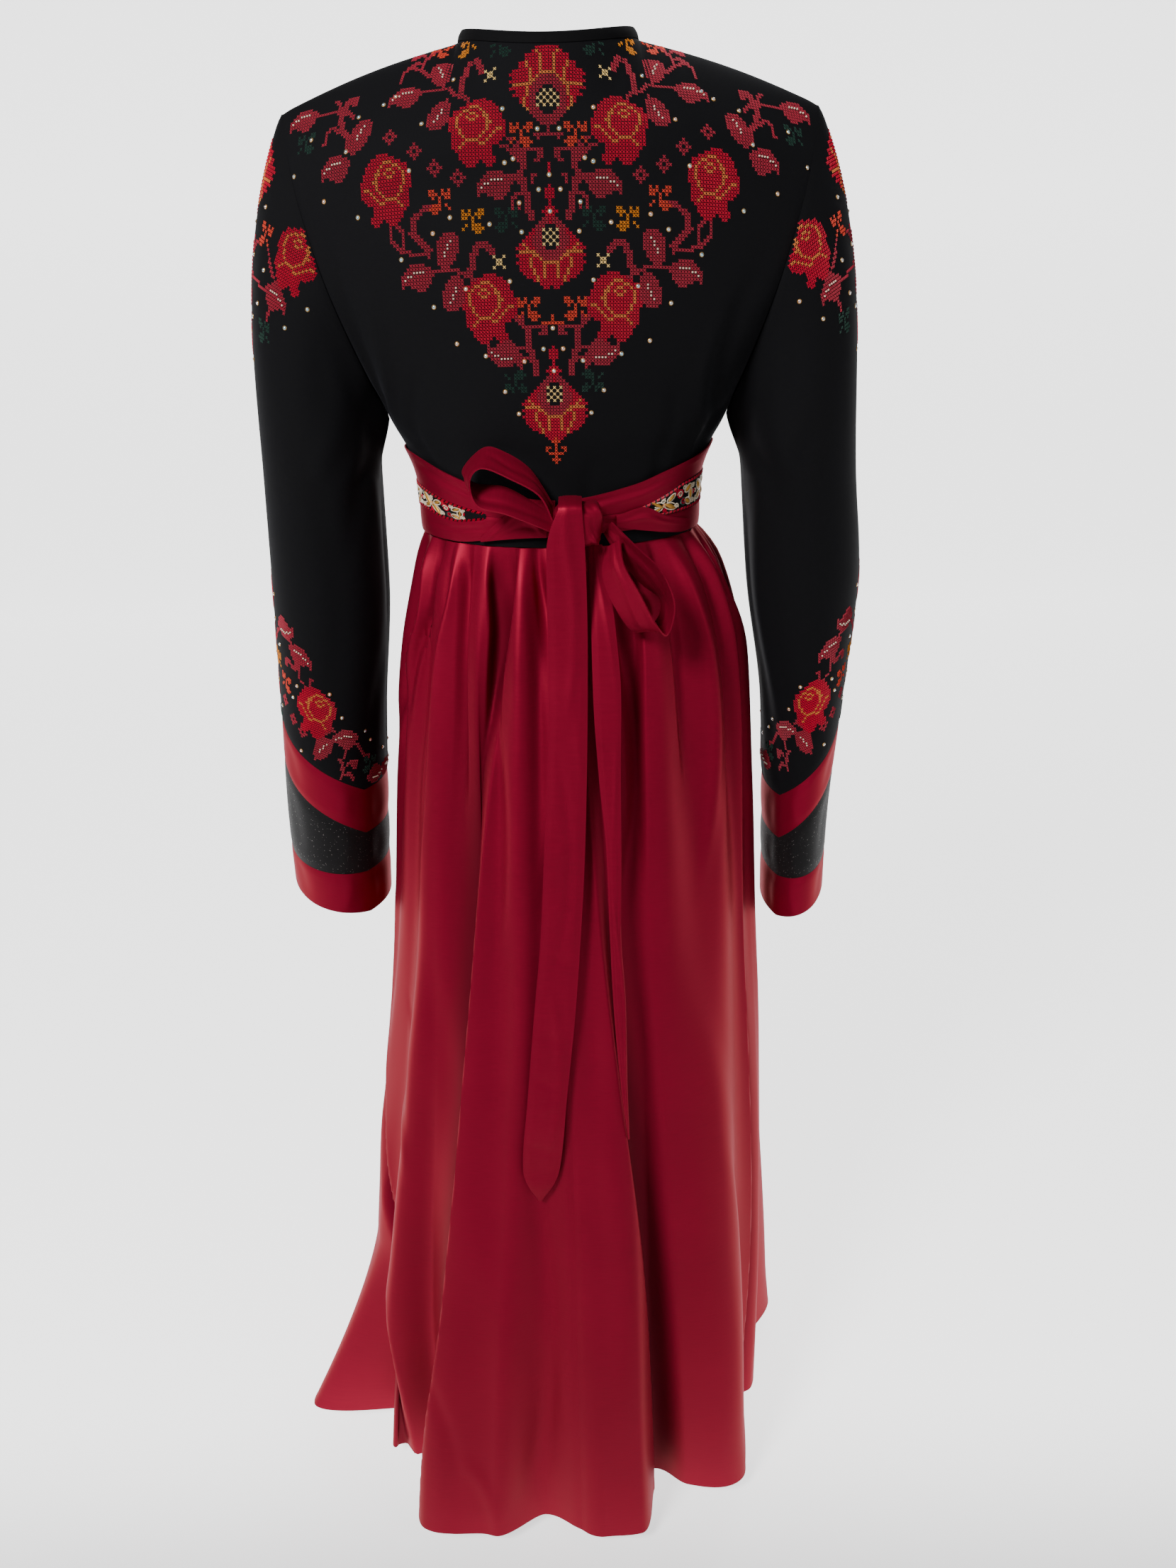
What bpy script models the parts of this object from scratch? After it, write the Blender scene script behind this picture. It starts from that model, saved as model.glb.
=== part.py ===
"""A long embroidered thobe dress in its worn, hollow form, built piece by piece as it is cut and sewn.

Metres, +Z up.  The origin is the middle of the neck at the height of the shoulders' inner ends, where
the wearer carries the dress.  -Y is the wearer's back, where the belt is tied, and -X the wearer's left.
A bearing is measured round the body from the middle of the back: +90 degrees is the +X side.
Every piece of cloth is a closed wall: its outer face follows a surface worked out from the tables below,
and its inner face lies one wall thickness inside.
"""
import math
from collections import namedtuple

import bmesh
import bpy
from mathutils import Vector

COLLECTION_NAME = "palestinian_thobe_dress"

# ---------------------------------------------------------------------------- driving dimensions
CLOTH = 0.0018              # thickness of the dress cloth
RIBBON = 0.0016             # thickness of the bow's ribbon
SEAM_GAP = 0.0003           # gap between two pieces at a seam
LAY_GAP = 0.0006            # gap under a piece that lies on another
STEP = 0.0005               # step used to measure a surface's slope
SHARP_ANGLE = 50            # degrees past which two faces meet at a sharp edge

NECK_HALF_WIDTH = 0.075     # at the seam of the neck binding
NECK_SIDE_Z = 0.004
NAPE_Y = -0.072
NAPE_Z = -0.006
THROAT_Y = 0.068
THROAT_Z = -0.070
BINDING_HEIGHT = 0.009
BINDING_LEAN = 0.45         # how far the binding leans in over the neck, per unit of height
SHOULDER_HALF_WIDTH = 0.226
SHOULDER_Z = -0.044
SHOULDER_RISE = 0.004       # how far the shoulder seam bows up between its ends
NECK_SHARE = 0.33           # share of a panel's half width that ends at the neck
NECK_BLEND = 0.12           # share over which the upright neck edge turns into the shoulder's ridge

WAIST_Z = -0.392
HEM_Z = -1.492
HEM_LIFT = 0.08             # a fold that reaches out by 1 m lifts its hem by this much
GATHERS = 22                # gathers round the waist seam
FOLD_GROWTH = 1.3           # how late a large fold opens on its way down

ARMHOLE_ROWS = 10           # rows of a bodice panel beside the armhole
SLEEVE_COLUMNS = 2 * ARMHOLE_ROWS
NECK_COLUMNS = 10           # columns of each bodice panel that end at the neck seam
SHOULDER_COLUMNS = 6        # and at each shoulder seam
SKIRT_STEP = 3              # degrees between two columns of the skirt
FLAP_COLUMNS = 8
CAP_ROWS = (0.0, 0.07, 0.18, 0.32, 0.48, 0.64, 0.82, 1.0)   # rows of a sleeve's cap, by share
ARM_ROWS = (0.22, 0.44, 0.66, 0.84, 1.0)                    # and of the arm below it

# ---------------------------------------------------------------------------- tables
# The bodice, level by level.  "edge" is the side seam below the arm and the armhole above it,
# "mid" is the middle of the back or front, and "arc" says how round the panel is at that level.
Level = namedtuple("Level", "name edge_x edge_z back_edge_y front_edge_y back_y back_z front_y front_z arc")
BODICE_LEVELS = (
    Level("waist",         0.130, WAIST_Z, 0.000, 0.000, -0.098, WAIST_Z, 0.096, WAIST_Z, 90),
    Level("belt",          0.1335, -0.335, 0.000, 0.000, -0.100, -0.335,  0.104, -0.335,  90),
    Level("underarm",      0.155, -0.290,  0.000, 0.000, -0.108, -0.289,  0.121, -0.289,  90),
    Level("lower_armhole", 0.168, -0.248, -0.040, 0.036, -0.113, -0.236,  0.130, -0.240,  72),
    Level("mid_armhole",   0.190, -0.182, -0.060, 0.050, -0.112, -0.172,  0.121, -0.184,  58),
    Level("upper_armhole", 0.208, -0.122, -0.050, 0.042, -0.102, -0.110,  0.100, -0.136,  48),
    Level("yoke",          0.220, -0.076, -0.026, 0.022, -0.089, -0.055,  0.084, -0.098,  42),
)
UNDERARM = 2
SHOULDER = len(BODICE_LEVELS)

# The sleeve below the underarm: how far each side of its tube lies from the dress's middle plane.
Ring = namedtuple("Ring", "z outer_left outer_right inner_left inner_right back_y front_y")
SLEEVE_RINGS = (
    Ring(-0.345, 0.277, 0.279, 0.168, 0.172, -0.068, 0.070),
    Ring(-0.450, 0.283, 0.290, 0.171, 0.182, -0.066, 0.076),
    Ring(-0.580, 0.292, 0.284, 0.186, 0.203, -0.058, 0.084),
    Ring(-0.700, 0.302, 0.280, 0.196, 0.211, -0.046, 0.094),
    Ring(-0.830, 0.307, 0.283, 0.205, 0.217, -0.034, 0.102),
)
# Which way the sleeve's cloth leaves the armhole, by the angle from the shoulder point to the underarm.
Leave = namedtuple("Leave", "angle out down")
SLEEVE_LEAVES = (
    Leave(0, 0.45, 0.89),
    Leave(60, 0.64, 0.77),
    Leave(120, 0.66, 0.75),
    Leave(180, 0.16, 0.98),
)
CREASE_START = 130          # angle past which the armhole seam turns into the crease under the arm
# The seams of the sleeve end.  Each rises from the inner seam to a point on the outer arm.
Chevron = namedtuple("Chevron", "name inner_z outer_z")
CHEVRONS = {
    "sleeve_end": Chevron("sleeve_end", -0.656, -0.566),
    "upper_band_end": Chevron("upper_band_end", -0.708, -0.612),
    "black_band_end": Chevron("black_band_end", -0.756, -0.729),
    "cuff_end": Chevron("cuff_end", -0.808, -0.770),
}
CHEVRON_REACH = 135         # degrees from the outer arm at which a chevron has come down to its lowest
RIGHT_SLEEVE_DROP = 0.015   # the right sleeve hangs this much lower

# The skirt without its folds, level by level: how far it reaches to each side.
Girth = namedtuple("Girth", "z left right back front")
SKIRT_LEVELS = (
    Girth(WAIST_Z, 0.130, 0.130, 0.098, 0.096),
    Girth(-0.430, 0.139, 0.153, 0.113, 0.107),
    Girth(-0.500, 0.154, 0.174, 0.132, 0.121),
    Girth(-0.650, 0.173, 0.190, 0.156, 0.141),
    Girth(-0.820, 0.191, 0.202, 0.177, 0.160),
    Girth(-1.000, 0.217, 0.217, 0.200, 0.183),
    Girth(-1.150, 0.240, 0.229, 0.220, 0.204),
    Girth(-1.300, 0.256, 0.238, 0.238, 0.224),
    Girth(HEM_Z, 0.264, 0.246, 0.251, 0.243),
)
# The large folds, in order round the hem: ridges and the valleys between them.  "start" is the height
# at which a fold begins, and "drift" how far its bearing at the waist lies from that at the hem.
Fold = namedtuple("Fold", "kind bearing drift reach start")
SKIRT_FOLDS = (
    Fold("ridge", -152, 4, 0.030, -0.70),
    Fold("valley", -132, 3, -0.022, -0.75),
    Fold("ridge", -113, 3, 0.032, -0.75),
    Fold("valley", -92, 2, -0.016, -0.90),
    Fold("ridge", -74, 2, 0.094, -1.24),
    Fold("valley", -64, 2, -0.026, -0.70),
    Fold("ridge", -55, 4, 0.022, -0.55),
    Fold("valley", -46, 3, -0.030, -0.75),
    Fold("ridge", -34, 5, 0.056, -0.70),
    Fold("ridge", -20, 5, 0.030, -0.75),
    Fold("valley", -9, 4, -0.010, -0.80),
    Fold("ridge", 6, 0, 0.018, -0.70),
    Fold("ridge", 15, -2, 0.022, -0.70),
    Fold("valley", 24, -4, -0.030, -0.60),
    Fold("ridge", 44, -4, 0.029, -0.60),
    Fold("valley", 60, -3, -0.028, -0.75),
    Fold("ridge", 74, -3, -0.014, -0.95),
    Fold("valley", 88, -2, -0.026, -0.90),
    Fold("ridge", 105, -3, 0.024, -1.00),
    Fold("valley", 125, -4, -0.020, -0.75),
    Fold("ridge", 143, -3, 0.030, -0.70),
    Fold("valley", 161, -2, -0.022, -0.75),
    Fold("ridge", 178, 0, 0.028, -0.70),
    Fold("valley", 194, 2, -0.022, -0.75),
)
# How deep the waist gathers are on their way down.
Depth = namedtuple("Depth", "z gather")
GATHER_DEPTHS = (
    Depth(WAIST_Z, 0.0010),
    Depth(-0.420, 0.0042),
    Depth(-0.500, 0.0055),
    Depth(-0.650, 0.0042),
    Depth(-0.850, 0.0024),
    Depth(-1.100, 0.0008),
    Depth(HEM_Z, 0.0000),
)
# Heights of the skirt's rows, as shares of the way from the waist to the hem.
SKIRT_ROWS = (0.0, 0.012, 0.030, 0.056, 0.095, 0.150, 0.220, 0.31, 0.41, 0.52, 0.63, 0.74, 0.84,
              0.92, 1.0)

# The belt's edges round the body.  The embroidered strip narrows to nothing beside the knot.
BeltEdge = namedtuple("BeltEdge", "bearing top strip_top strip_bottom bottom")
BELT_EDGES = (
    BeltEdge(-180, -0.318, -0.3400, -0.3690, -0.3900),
    BeltEdge(-90, -0.314, -0.3440, -0.3670, -0.3900),
    BeltEdge(-70, -0.316, -0.3470, -0.3670, -0.3905),
    BeltEdge(-45, -0.331, -0.3570, -0.3725, -0.3905),
    BeltEdge(-24, -0.344, -0.3640, -0.3668, -0.3850),
    BeltEdge(0, -0.350, -0.3660, -0.3660, -0.3815),
    BeltEdge(30, -0.340, -0.3625, -0.3640, -0.3795),
    BeltEdge(45, -0.331, -0.3530, -0.3705, -0.3855),
    BeltEdge(60, -0.324, -0.3430, -0.3700, -0.3895),
    BeltEdge(90, -0.313, -0.3385, -0.3690, -0.3900),
    BeltEdge(180, -0.318, -0.3400, -0.3690, -0.3900),
)
BELT_OPENING = 1.0          # bearing either side of the middle back where the belt's ends meet
STRIP_END_LEFT = -29        # bearings where the embroidered strip ends
STRIP_END_RIGHT = 29

# A flap of a belt end that is folded over the belt, by the share of its length.
FlapEdge = namedtuple("FlapEdge", "bearing top bottom")
LEFT_FLAP = (
    FlapEdge(-31.5, -0.3840, -0.3880),
    FlapEdge(-22.5, -0.3670, -0.3848),
    FlapEdge(-15.0, -0.3545, -0.3830),
    FlapEdge(-9.0, -0.3615, -0.3822),
    FlapEdge(-4.5, -0.3665, -0.3820),
)
RIGHT_FLAP = (
    FlapEdge(22.5, -0.3650, -0.3755),
    FlapEdge(34.0, -0.3600, -0.3805),
    FlapEdge(46.0, -0.3705, -0.3850),
    FlapEdge(63.0, -0.3790, -0.3885),
)

# The knot is a rounded block of wrapped ribbon.
KNOT_CENTRE = Vector((0.018, -0.1200, -0.3660))
KNOT_HALF_SIZE = Vector((0.0220, 0.0190, 0.0195))
KNOT_ROUNDNESS = 0.55       # 1 is a plain ball, 0 a box
KNOT_SIDES = 16
KNOT_RINGS = 10

# A ribbon's middle line, with the vector from its middle to one of its edges.
Ribbon = namedtuple("Ribbon", "x y z edge_x edge_y edge_z")
LEFT_LOOP = (
    Ribbon(-0.0045, -0.120, -0.3560, 0.000, -0.006, -0.006),
    Ribbon(-0.0190, -0.119, -0.3310, 0.004, -0.011, -0.009),
    Ribbon(-0.0420, -0.118, -0.3165, 0.003, -0.013, -0.009),
    Ribbon(-0.0625, -0.114, -0.3110, 0.000, -0.014, -0.006),
    Ribbon(-0.0775, -0.111, -0.3260, 0.004, -0.014, -0.002),
    Ribbon(-0.0690, -0.114, -0.3415, 0.001, -0.013, -0.007),
    Ribbon(-0.0420, -0.118, -0.3470, 0.000, -0.012, -0.009),
    Ribbon(-0.0045, -0.119, -0.3665, 0.000, -0.007, -0.006),
)
RIGHT_LOOP = (
    Ribbon(0.0430, -0.121, -0.3700, 0.003, -0.006, 0.006),
    Ribbon(0.0600, -0.127, -0.3905, 0.007, -0.009, 0.007),
    Ribbon(0.0800, -0.127, -0.4125, 0.008, -0.011, 0.008),
    Ribbon(0.0945, -0.126, -0.4350, 0.0055, -0.0135, 0.001),
    Ribbon(0.0900, -0.130, -0.4570, 0.004, -0.013, -0.003),
    Ribbon(0.0745, -0.1395, -0.4545, 0.009, -0.010, 0.006),
    Ribbon(0.0580, -0.1425, -0.4270, 0.011, -0.008, 0.007),
    Ribbon(0.0470, -0.1360, -0.4030, 0.009, -0.007, 0.006),
    Ribbon(0.0472, -0.1260, -0.3830, 0.006, -0.006, 0.005),
)
RIBBON_ROWS_PER_SPAN = 4

# The hanging ties: left and right edge at each height.
TieEdge = namedtuple("TieEdge", "z left right")
LONG_TIE = (
    TieEdge(-0.350, 0.001, 0.021),
    TieEdge(-0.366, -0.006, 0.022),
    TieEdge(-0.384, -0.010, 0.023),
    TieEdge(-0.450, -0.011, 0.024),
    TieEdge(-0.518, -0.011, 0.023),
    TieEdge(-0.590, -0.015, 0.021),
    TieEdge(-0.663, -0.020, 0.018),
    TieEdge(-0.740, -0.025, 0.013),
    TieEdge(-0.825, -0.034, 0.006),
    TieEdge(-0.915, -0.043, -0.004),
    TieEdge(-1.005, -0.051, -0.014),
    TieEdge(-1.045, -0.037, -0.032),
)
SHORT_TIE = (
    TieEdge(-0.3858, 0.026, 0.038),
    TieEdge(-0.450, 0.027, 0.048),
    TieEdge(-0.518, 0.028, 0.053),
    TieEdge(-0.590, 0.032, 0.052),
    TieEdge(-0.663, 0.038, 0.052),
    TieEdge(-0.740, 0.040, 0.051),
    TieEdge(-0.820, 0.043, 0.055),
    TieEdge(-0.905, 0.049, 0.056),
    TieEdge(-0.971, 0.056, 0.058),
)
TIE_CLEARANCE = 0.0009      # between a hanging tie and the folds it lies on
TIE_MARGIN = 0.004          # how far past its edges a tie clears the folds
TIE_SWEEP = 40.0            # bearings either side of the middle back that the ties hang in front of
SHORT_TIE_Y = -0.114        # where the short tie leaves the knot, behind the right loop

Finish = namedtuple("Finish", "colour roughness metallic")
BLACK_CREPE = Finish((0.006, 0.006, 0.007, 1.0), 0.85, 0.0)
CRIMSON_SATIN = Finish((0.190, 0.006, 0.018, 1.0), 0.35, 0.0)
SPECKLED_BLACK = Finish((0.012, 0.011, 0.013, 1.0), 0.60, 0.0)
STRIP_CLOTH = Finish((0.020, 0.012, 0.010, 1.0), 0.70, 0.0)


# ---------------------------------------------------------------------------- smooth curves and slopes
def smooth_curve(keys, values):
    """A smooth function through values at rising keys, which never runs past a high or a low."""
    spans = [b - a for a, b in zip(keys, keys[1:])]
    slopes = [(b - a) / span for a, b, span in zip(values, values[1:], spans)]
    tangents = [slopes[0]]
    for before, after in zip(slopes, slopes[1:]):
        level = before * after <= 0.0
        tangents.append(0.0 if level else 2.0 * before * after / (before + after))
    tangents.append(slopes[-1])

    def curve(key):
        key = min(max(key, keys[0]), keys[-1])
        i = next((n for n in range(len(spans)) if key <= keys[n + 1]), len(spans) - 1)
        share = (key - keys[i]) / spans[i]
        rest = 1.0 - share
        start = (1.0 + 2.0 * share) * rest * rest
        end = share * share * (3.0 - 2.0 * share)
        leave = share * rest * rest * spans[i]
        arrive = -share * share * rest * spans[i]
        return values[i] * start + values[i + 1] * end + tangents[i] * leave + tangents[i + 1] * arrive

    return curve


def table_curve(rows, key, column, sign=1.0):
    """A smooth function through one column of a table; sign is -1 where the keys fall."""
    keys = [sign * getattr(row, key) for row in rows]
    curve = smooth_curve(keys, [getattr(row, column) for row in rows])
    return lambda value: curve(sign * value)


def spline(before, start, end, after, share):
    """Point on the smooth curve from start to end, given the points before and after them."""
    leave = (end - before) * 0.5
    arrive = (after - start) * 0.5
    rest = 1.0 - share
    return (start * ((1.0 + 2.0 * share) * rest * rest) + end * (share * share * (3.0 - 2.0 * share))
            + leave * (share * rest * rest) - arrive * (share * share * rest))


def mix(a, b, share):
    return a + (b - a) * share


def outward(surface, u, v, flip=False):
    """Unit normal of a surface at (u, v), from its slopes; flip turns it to the other side."""
    along = surface(u + STEP, v) - surface(u - STEP, v)
    down = surface(u, v + STEP) - surface(u, v - STEP)
    normal = along.cross(down).normalized()
    return -normal if flip else normal


# ---------------------------------------------------------------------------- building solids
def new_material(name, finish):
    material = bpy.data.materials.new(name)
    material.use_nodes = True
    shader = material.node_tree.nodes["Principled BSDF"]
    shader.inputs["Base Color"].default_value = finish.colour
    shader.inputs["Roughness"].default_value = finish.roughness
    shader.inputs["Metallic"].default_value = finish.metallic
    return material


def add_solid(name, shape, finish):
    """Make a named object from a bmesh of one closed body."""
    bmesh.ops.recalc_face_normals(shape, faces=shape.faces[:])
    mesh = bpy.data.meshes.new(name)
    shape.to_mesh(mesh)
    shape.free()
    mesh.shade_smooth()
    mesh.set_sharp_from_angle(angle=math.radians(SHARP_ANGLE))
    mesh.materials.append(new_material(name + "_finish", finish))
    thing = bpy.data.objects.new(name, mesh)
    bpy.data.collections[COLLECTION_NAME].objects.link(thing)
    return thing


def add_wall(name, outer, inner, finish, tube=False):
    """A wall of cloth between two grids of points, given as rows; a tube's rows close on themselves."""
    shape = bmesh.new()
    faces = []
    grids = [[[shape.verts.new(point) for point in row] for row in grid] for grid in (outer, inner)]
    rows = len(outer)
    columns = len(outer[0])
    spans = columns if tube else columns - 1
    for grid in grids:
        for r in range(rows - 1):
            for c in range(spans):
                n = (c + 1) % columns
                faces.append((grid[r][c], grid[r][n], grid[r + 1][n], grid[r + 1][c]))
    for r in (0, rows - 1):
        for c in range(spans):
            n = (c + 1) % columns
            faces.append((grids[0][r][c], grids[0][r][n], grids[1][r][n], grids[1][r][c]))
    if not tube:
        for c in (0, columns - 1):
            for r in range(rows - 1):
                faces.append((grids[0][r][c], grids[0][r + 1][c], grids[1][r + 1][c], grids[1][r][c]))
    for corners in faces:
        shape.faces.new(corners)
    return add_solid(name, shape, finish)


def span(start, end, count):
    """Evenly spaced values from start to end, both included."""
    return [mix(start, end, i / count) for i in range(count + 1)]


# ---------------------------------------------------------------------------- bodice
def level_point(level, share, side_of_body):
    """Point of a bodice level: share runs from -1 at the left edge to 1 at the right edge."""
    back = side_of_body == "back"
    edge_y = level.back_edge_y if back else level.front_edge_y
    mid_y = level.back_y if back else level.front_y
    mid_z = level.back_z if back else level.front_z
    arc = math.radians(level.arc)
    bow = (math.cos(share * arc) - math.cos(arc)) / (1.0 - math.cos(arc))
    x = level.edge_x * math.sin(share * arc) / math.sin(arc)
    return Vector((x, mix(edge_y, mid_y, bow), mix(mid_z, level.edge_z, share * share)))


def top_point(share, side_of_body):
    """Point of a panel's top edge: the neck seam, then the shoulder seam out to the armhole."""
    reach = abs(share)
    if reach <= NECK_SHARE:
        turn = math.radians(90.0) * share / NECK_SHARE
        mid_y, mid_z = (NAPE_Y, NAPE_Z) if side_of_body == "back" else (THROAT_Y, THROAT_Z)
        rise = math.sin(turn) ** 2
        return Vector((NECK_HALF_WIDTH * math.sin(turn), mid_y * math.cos(turn), mix(mid_z, NECK_SIDE_Z, rise)))
    out = (reach - NECK_SHARE) / (1.0 - NECK_SHARE)
    x = mix(NECK_HALF_WIDTH, SHOULDER_HALF_WIDTH, out)
    z = mix(NECK_SIDE_Z, SHOULDER_Z, out) + SHOULDER_RISE * math.sin(math.pi * out)
    return Vector((math.copysign(x, share), 0.0, z))


def bodice_point(share, height, side_of_body):
    """Point of the bodice: height counts the levels up from the waist, and SHOULDER is the top edge."""
    points = [level_point(level, share, side_of_body) for level in BODICE_LEVELS]
    points.append(top_point(share, side_of_body))
    last = points[-2]
    over = Vector((last.x, -last.y, last.z))
    straight = points[-1] * 2.0 - last
    ridge = min(max((abs(share) - NECK_SHARE + NECK_BLEND) / NECK_BLEND, 0.0), 1.0)
    points.append(mix(straight, over, ridge))
    points.insert(0, points[0] * 2.0 - points[1])
    i = min(max(int(height), 0), SHOULDER - 1)
    before, start, end, after = points[i:i + 4]
    if i + 1 == UNDERARM:
        corner = end * 2.0 - start
        after = mix(after, corner, abs(share) ** 6)
    return spline(before, start, end, after, height - i)


def torso_point(bearing, height):
    """Point of the closed bodice below the underarm, by bearing."""
    bearing = (bearing + 180.0) % 360.0 - 180.0
    if abs(bearing) <= 90.0:
        return bodice_point(bearing / 90.0, height, "back")
    return bodice_point(math.copysign((180.0 - abs(bearing)) / 90.0, bearing), height, "front")


def torso_height(bearing, z):
    """The height, in levels, at which the closed bodice passes through z."""
    low, high = 0.0, float(UNDERARM)
    for _ in range(30):
        middle = 0.5 * (low + high)
        if torso_point(bearing, middle).z < z:
            low = middle
        else:
            high = middle
    return 0.5 * (low + high)


def bodice_shares():
    """The columns of a bodice panel, with one at each end of the neck seam."""
    out = span(NECK_SHARE, 1.0, SHOULDER_COLUMNS)[1:]
    return [-share for share in reversed(out)] + span(-NECK_SHARE, NECK_SHARE, NECK_COLUMNS) + out


def make_bodice(side_of_body):
    back = side_of_body == "back"

    def panel(share, height):
        return bodice_point(share, height, side_of_body)

    heights = span(0.0, UNDERARM, 6) + span(UNDERARM, SHOULDER, ARMHOLE_ROWS)[1:]
    shares = bodice_shares()
    outer = []
    inner = []
    for height in heights:
        outer.append([])
        inner.append([])
        for share in shares:
            near = min(max(height, 0.001), SHOULDER - 0.001)
            inset = math.copysign(min(abs(share), 0.999), share)
            normal = outward(panel, inset, near, flip=not back)
            if abs(share) == 1.0 and height >= UNDERARM:
                angle = 180.0 * (SHOULDER - height) / (SHOULDER - UNDERARM)
                angle = angle if back else -angle
                normal = armhole_normal(math.copysign(1, share), angle)
            point = panel(share, height)
            point += seam_step(panel, share, height, shares, heights)
            outer[-1].append(point)
            inner[-1].append(point - normal * CLOTH)
    return add_wall("bodice_" + side_of_body, outer, inner, BLACK_CREPE)


def seam_step(panel, share, height, shares, heights):
    """How far a panel's edge point moves in, so that half of the seam's gap is on this side."""
    step = Vector((0.0, 0.0, 0.0))
    if share in (shares[0], shares[-1]):
        toward = panel(share * 0.98, height) - panel(share, height)
        step += toward.normalized() * SEAM_GAP * 0.5
    if height in (heights[0], heights[-1]):
        other = heights[1] if height == heights[0] else heights[-2]
        toward = panel(share, mix(height, other, 0.1)) - panel(share, height)
        step += toward.normalized() * SEAM_GAP * 0.5
    return step


def make_binding():
    """The neck binding: a narrow strip that stands on the neck seam and leans in."""
    def seam(turn):
        side_of_body = "back" if math.cos(turn) >= 0.0 else "front"
        mid_y, mid_z = (NAPE_Y, NAPE_Z) if side_of_body == "back" else (THROAT_Y, THROAT_Z)
        rise = math.sin(turn) ** 2
        return Vector((NECK_HALF_WIDTH * math.sin(turn), mid_y * abs(math.cos(turn)),
                       mix(mid_z, NECK_SIDE_Z, rise)))

    columns = 2 * NECK_COLUMNS
    outer = [[], [], []]
    inner = [[], [], []]
    for c in range(columns):
        turn = math.tau * c / columns
        foot = seam(turn)
        inward = Vector((-foot.x, -foot.y, 0.0)).normalized()
        climb = (Vector((0.0, 0.0, 1.0)) + inward * BINDING_LEAN).normalized()
        along = (seam(turn + STEP) - seam(turn - STEP)).normalized()
        normal = climb.cross(along).normalized()
        if normal.dot(inward) > 0.0:
            normal = -normal
        for row, share in enumerate((SEAM_GAP / BINDING_HEIGHT, 0.5, 1.0)):
            point = foot + climb * (BINDING_HEIGHT * share)
            outer[row].append(point)
            inner[row].append(point - normal * CLOTH)
    return add_wall("neck_binding", outer, inner, BLACK_CREPE, tube=True)


# ---------------------------------------------------------------------------- sleeves
def armhole_point(side, angle):
    """Point of the armhole: angle 0 at the shoulder point, + to the back, 180 at the underarm."""
    height = SHOULDER - (SHOULDER - UNDERARM) * abs(angle) / 180.0
    return bodice_point(side, height, "back" if angle >= 0.0 else "front")


def sleeve_leave(side, angle):
    """Direction in which the sleeve's cloth leaves the armhole."""
    out = table_curve(SLEEVE_LEAVES, "angle", "out")(abs(angle))
    down = table_curve(SLEEVE_LEAVES, "angle", "down")(abs(angle))
    return Vector((side * out, 0.0, -down)).normalized()


def armhole_normal(side, angle):
    """Normal shared by the bodice and the sleeve at the armhole seam."""
    if abs(angle) > 179.0:
        return Vector((0.0, 0.0, -1.0))
    side_of_body = "back" if angle >= 0.0 else "front"
    height = SHOULDER - (SHOULDER - UNDERARM) * abs(angle) / 180.0

    def panel(share, level):
        return bodice_point(share, level, side_of_body)

    bodice = outward(panel, side * 0.999, min(height, SHOULDER - 0.001), flip=side_of_body == "front")
    around = armhole_point(side, angle + 0.9) - armhole_point(side, angle - 0.9)
    sleeve = around.cross(sleeve_leave(side, angle)).normalized()
    away = Vector((side * math.cos(math.radians(angle)), -math.sin(math.radians(angle)), 0.0))
    if sleeve.dot(away) < 0.0:
        sleeve = -sleeve
    shared = (bodice + sleeve).normalized()
    crease = min(max((abs(angle) - CREASE_START) / (180.0 - CREASE_START), 0.0), 1.0)
    return mix(shared, Vector((0.0, 0.0, -1.0)), crease).normalized()


def ring_point(side, angle, z):
    """Point of the sleeve's tube at a height below the underarm."""
    hand = "right" if side > 0 else "left"
    outer = RING_CURVES["outer_" + hand](z)
    inner = RING_CURVES["inner_" + hand](z)
    back = RING_CURVES["back_y"](z)
    front = RING_CURVES["front_y"](z)
    turn = math.radians(angle)
    x = 0.5 * (outer + inner) + 0.5 * (outer - inner) * math.cos(turn)
    y = 0.5 * (back + front) - 0.5 * (front - back) * math.sin(turn)
    return Vector((side * x, y, z))


def sleeve_point(side, angle, down):
    """Point of a sleeve: down runs 0 to 1 over the cap, then on by metres below the first ring."""
    angle = (angle + 180.0) % 360.0 - 180.0
    ring_z = SLEEVE_RINGS[0].z
    if down >= 1.0:
        return ring_point(side, angle, ring_z - (down - 1.0))
    start = armhole_point(side, angle)
    end = ring_point(side, angle, ring_z)
    length = (end - start).length
    leave = sleeve_leave(side, angle) * length
    arrive = (ring_point(side, angle, ring_z - STEP) - end).normalized() * length
    rest = 1.0 - down
    return (start * ((1.0 + 2.0 * down) * rest * rest) + end * (down * down * (3.0 - 2.0 * down))
            + leave * (down * rest * rest) - arrive * (down * down * rest))


def sleeve_normal(side, angle, down):
    def surface(a, d):
        return sleeve_point(side, a, d)

    if down == 0.0:
        return armhole_normal(side, angle)
    normal = outward(surface, angle, down)
    probe = surface(angle + 180.0, down) - surface(angle, down)
    return -normal if normal.dot(probe) > 0.0 else normal


def chevron_z(side, name, angle):
    """Height of one of the seams at the sleeve's end."""
    chevron = CHEVRONS[name]
    climb = max(0.0, 1.0 - abs(angle) / CHEVRON_REACH)
    drop = RIGHT_SLEEVE_DROP if side > 0 else 0.0
    return mix(chevron.inner_z, chevron.outer_z, climb) - drop


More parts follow.
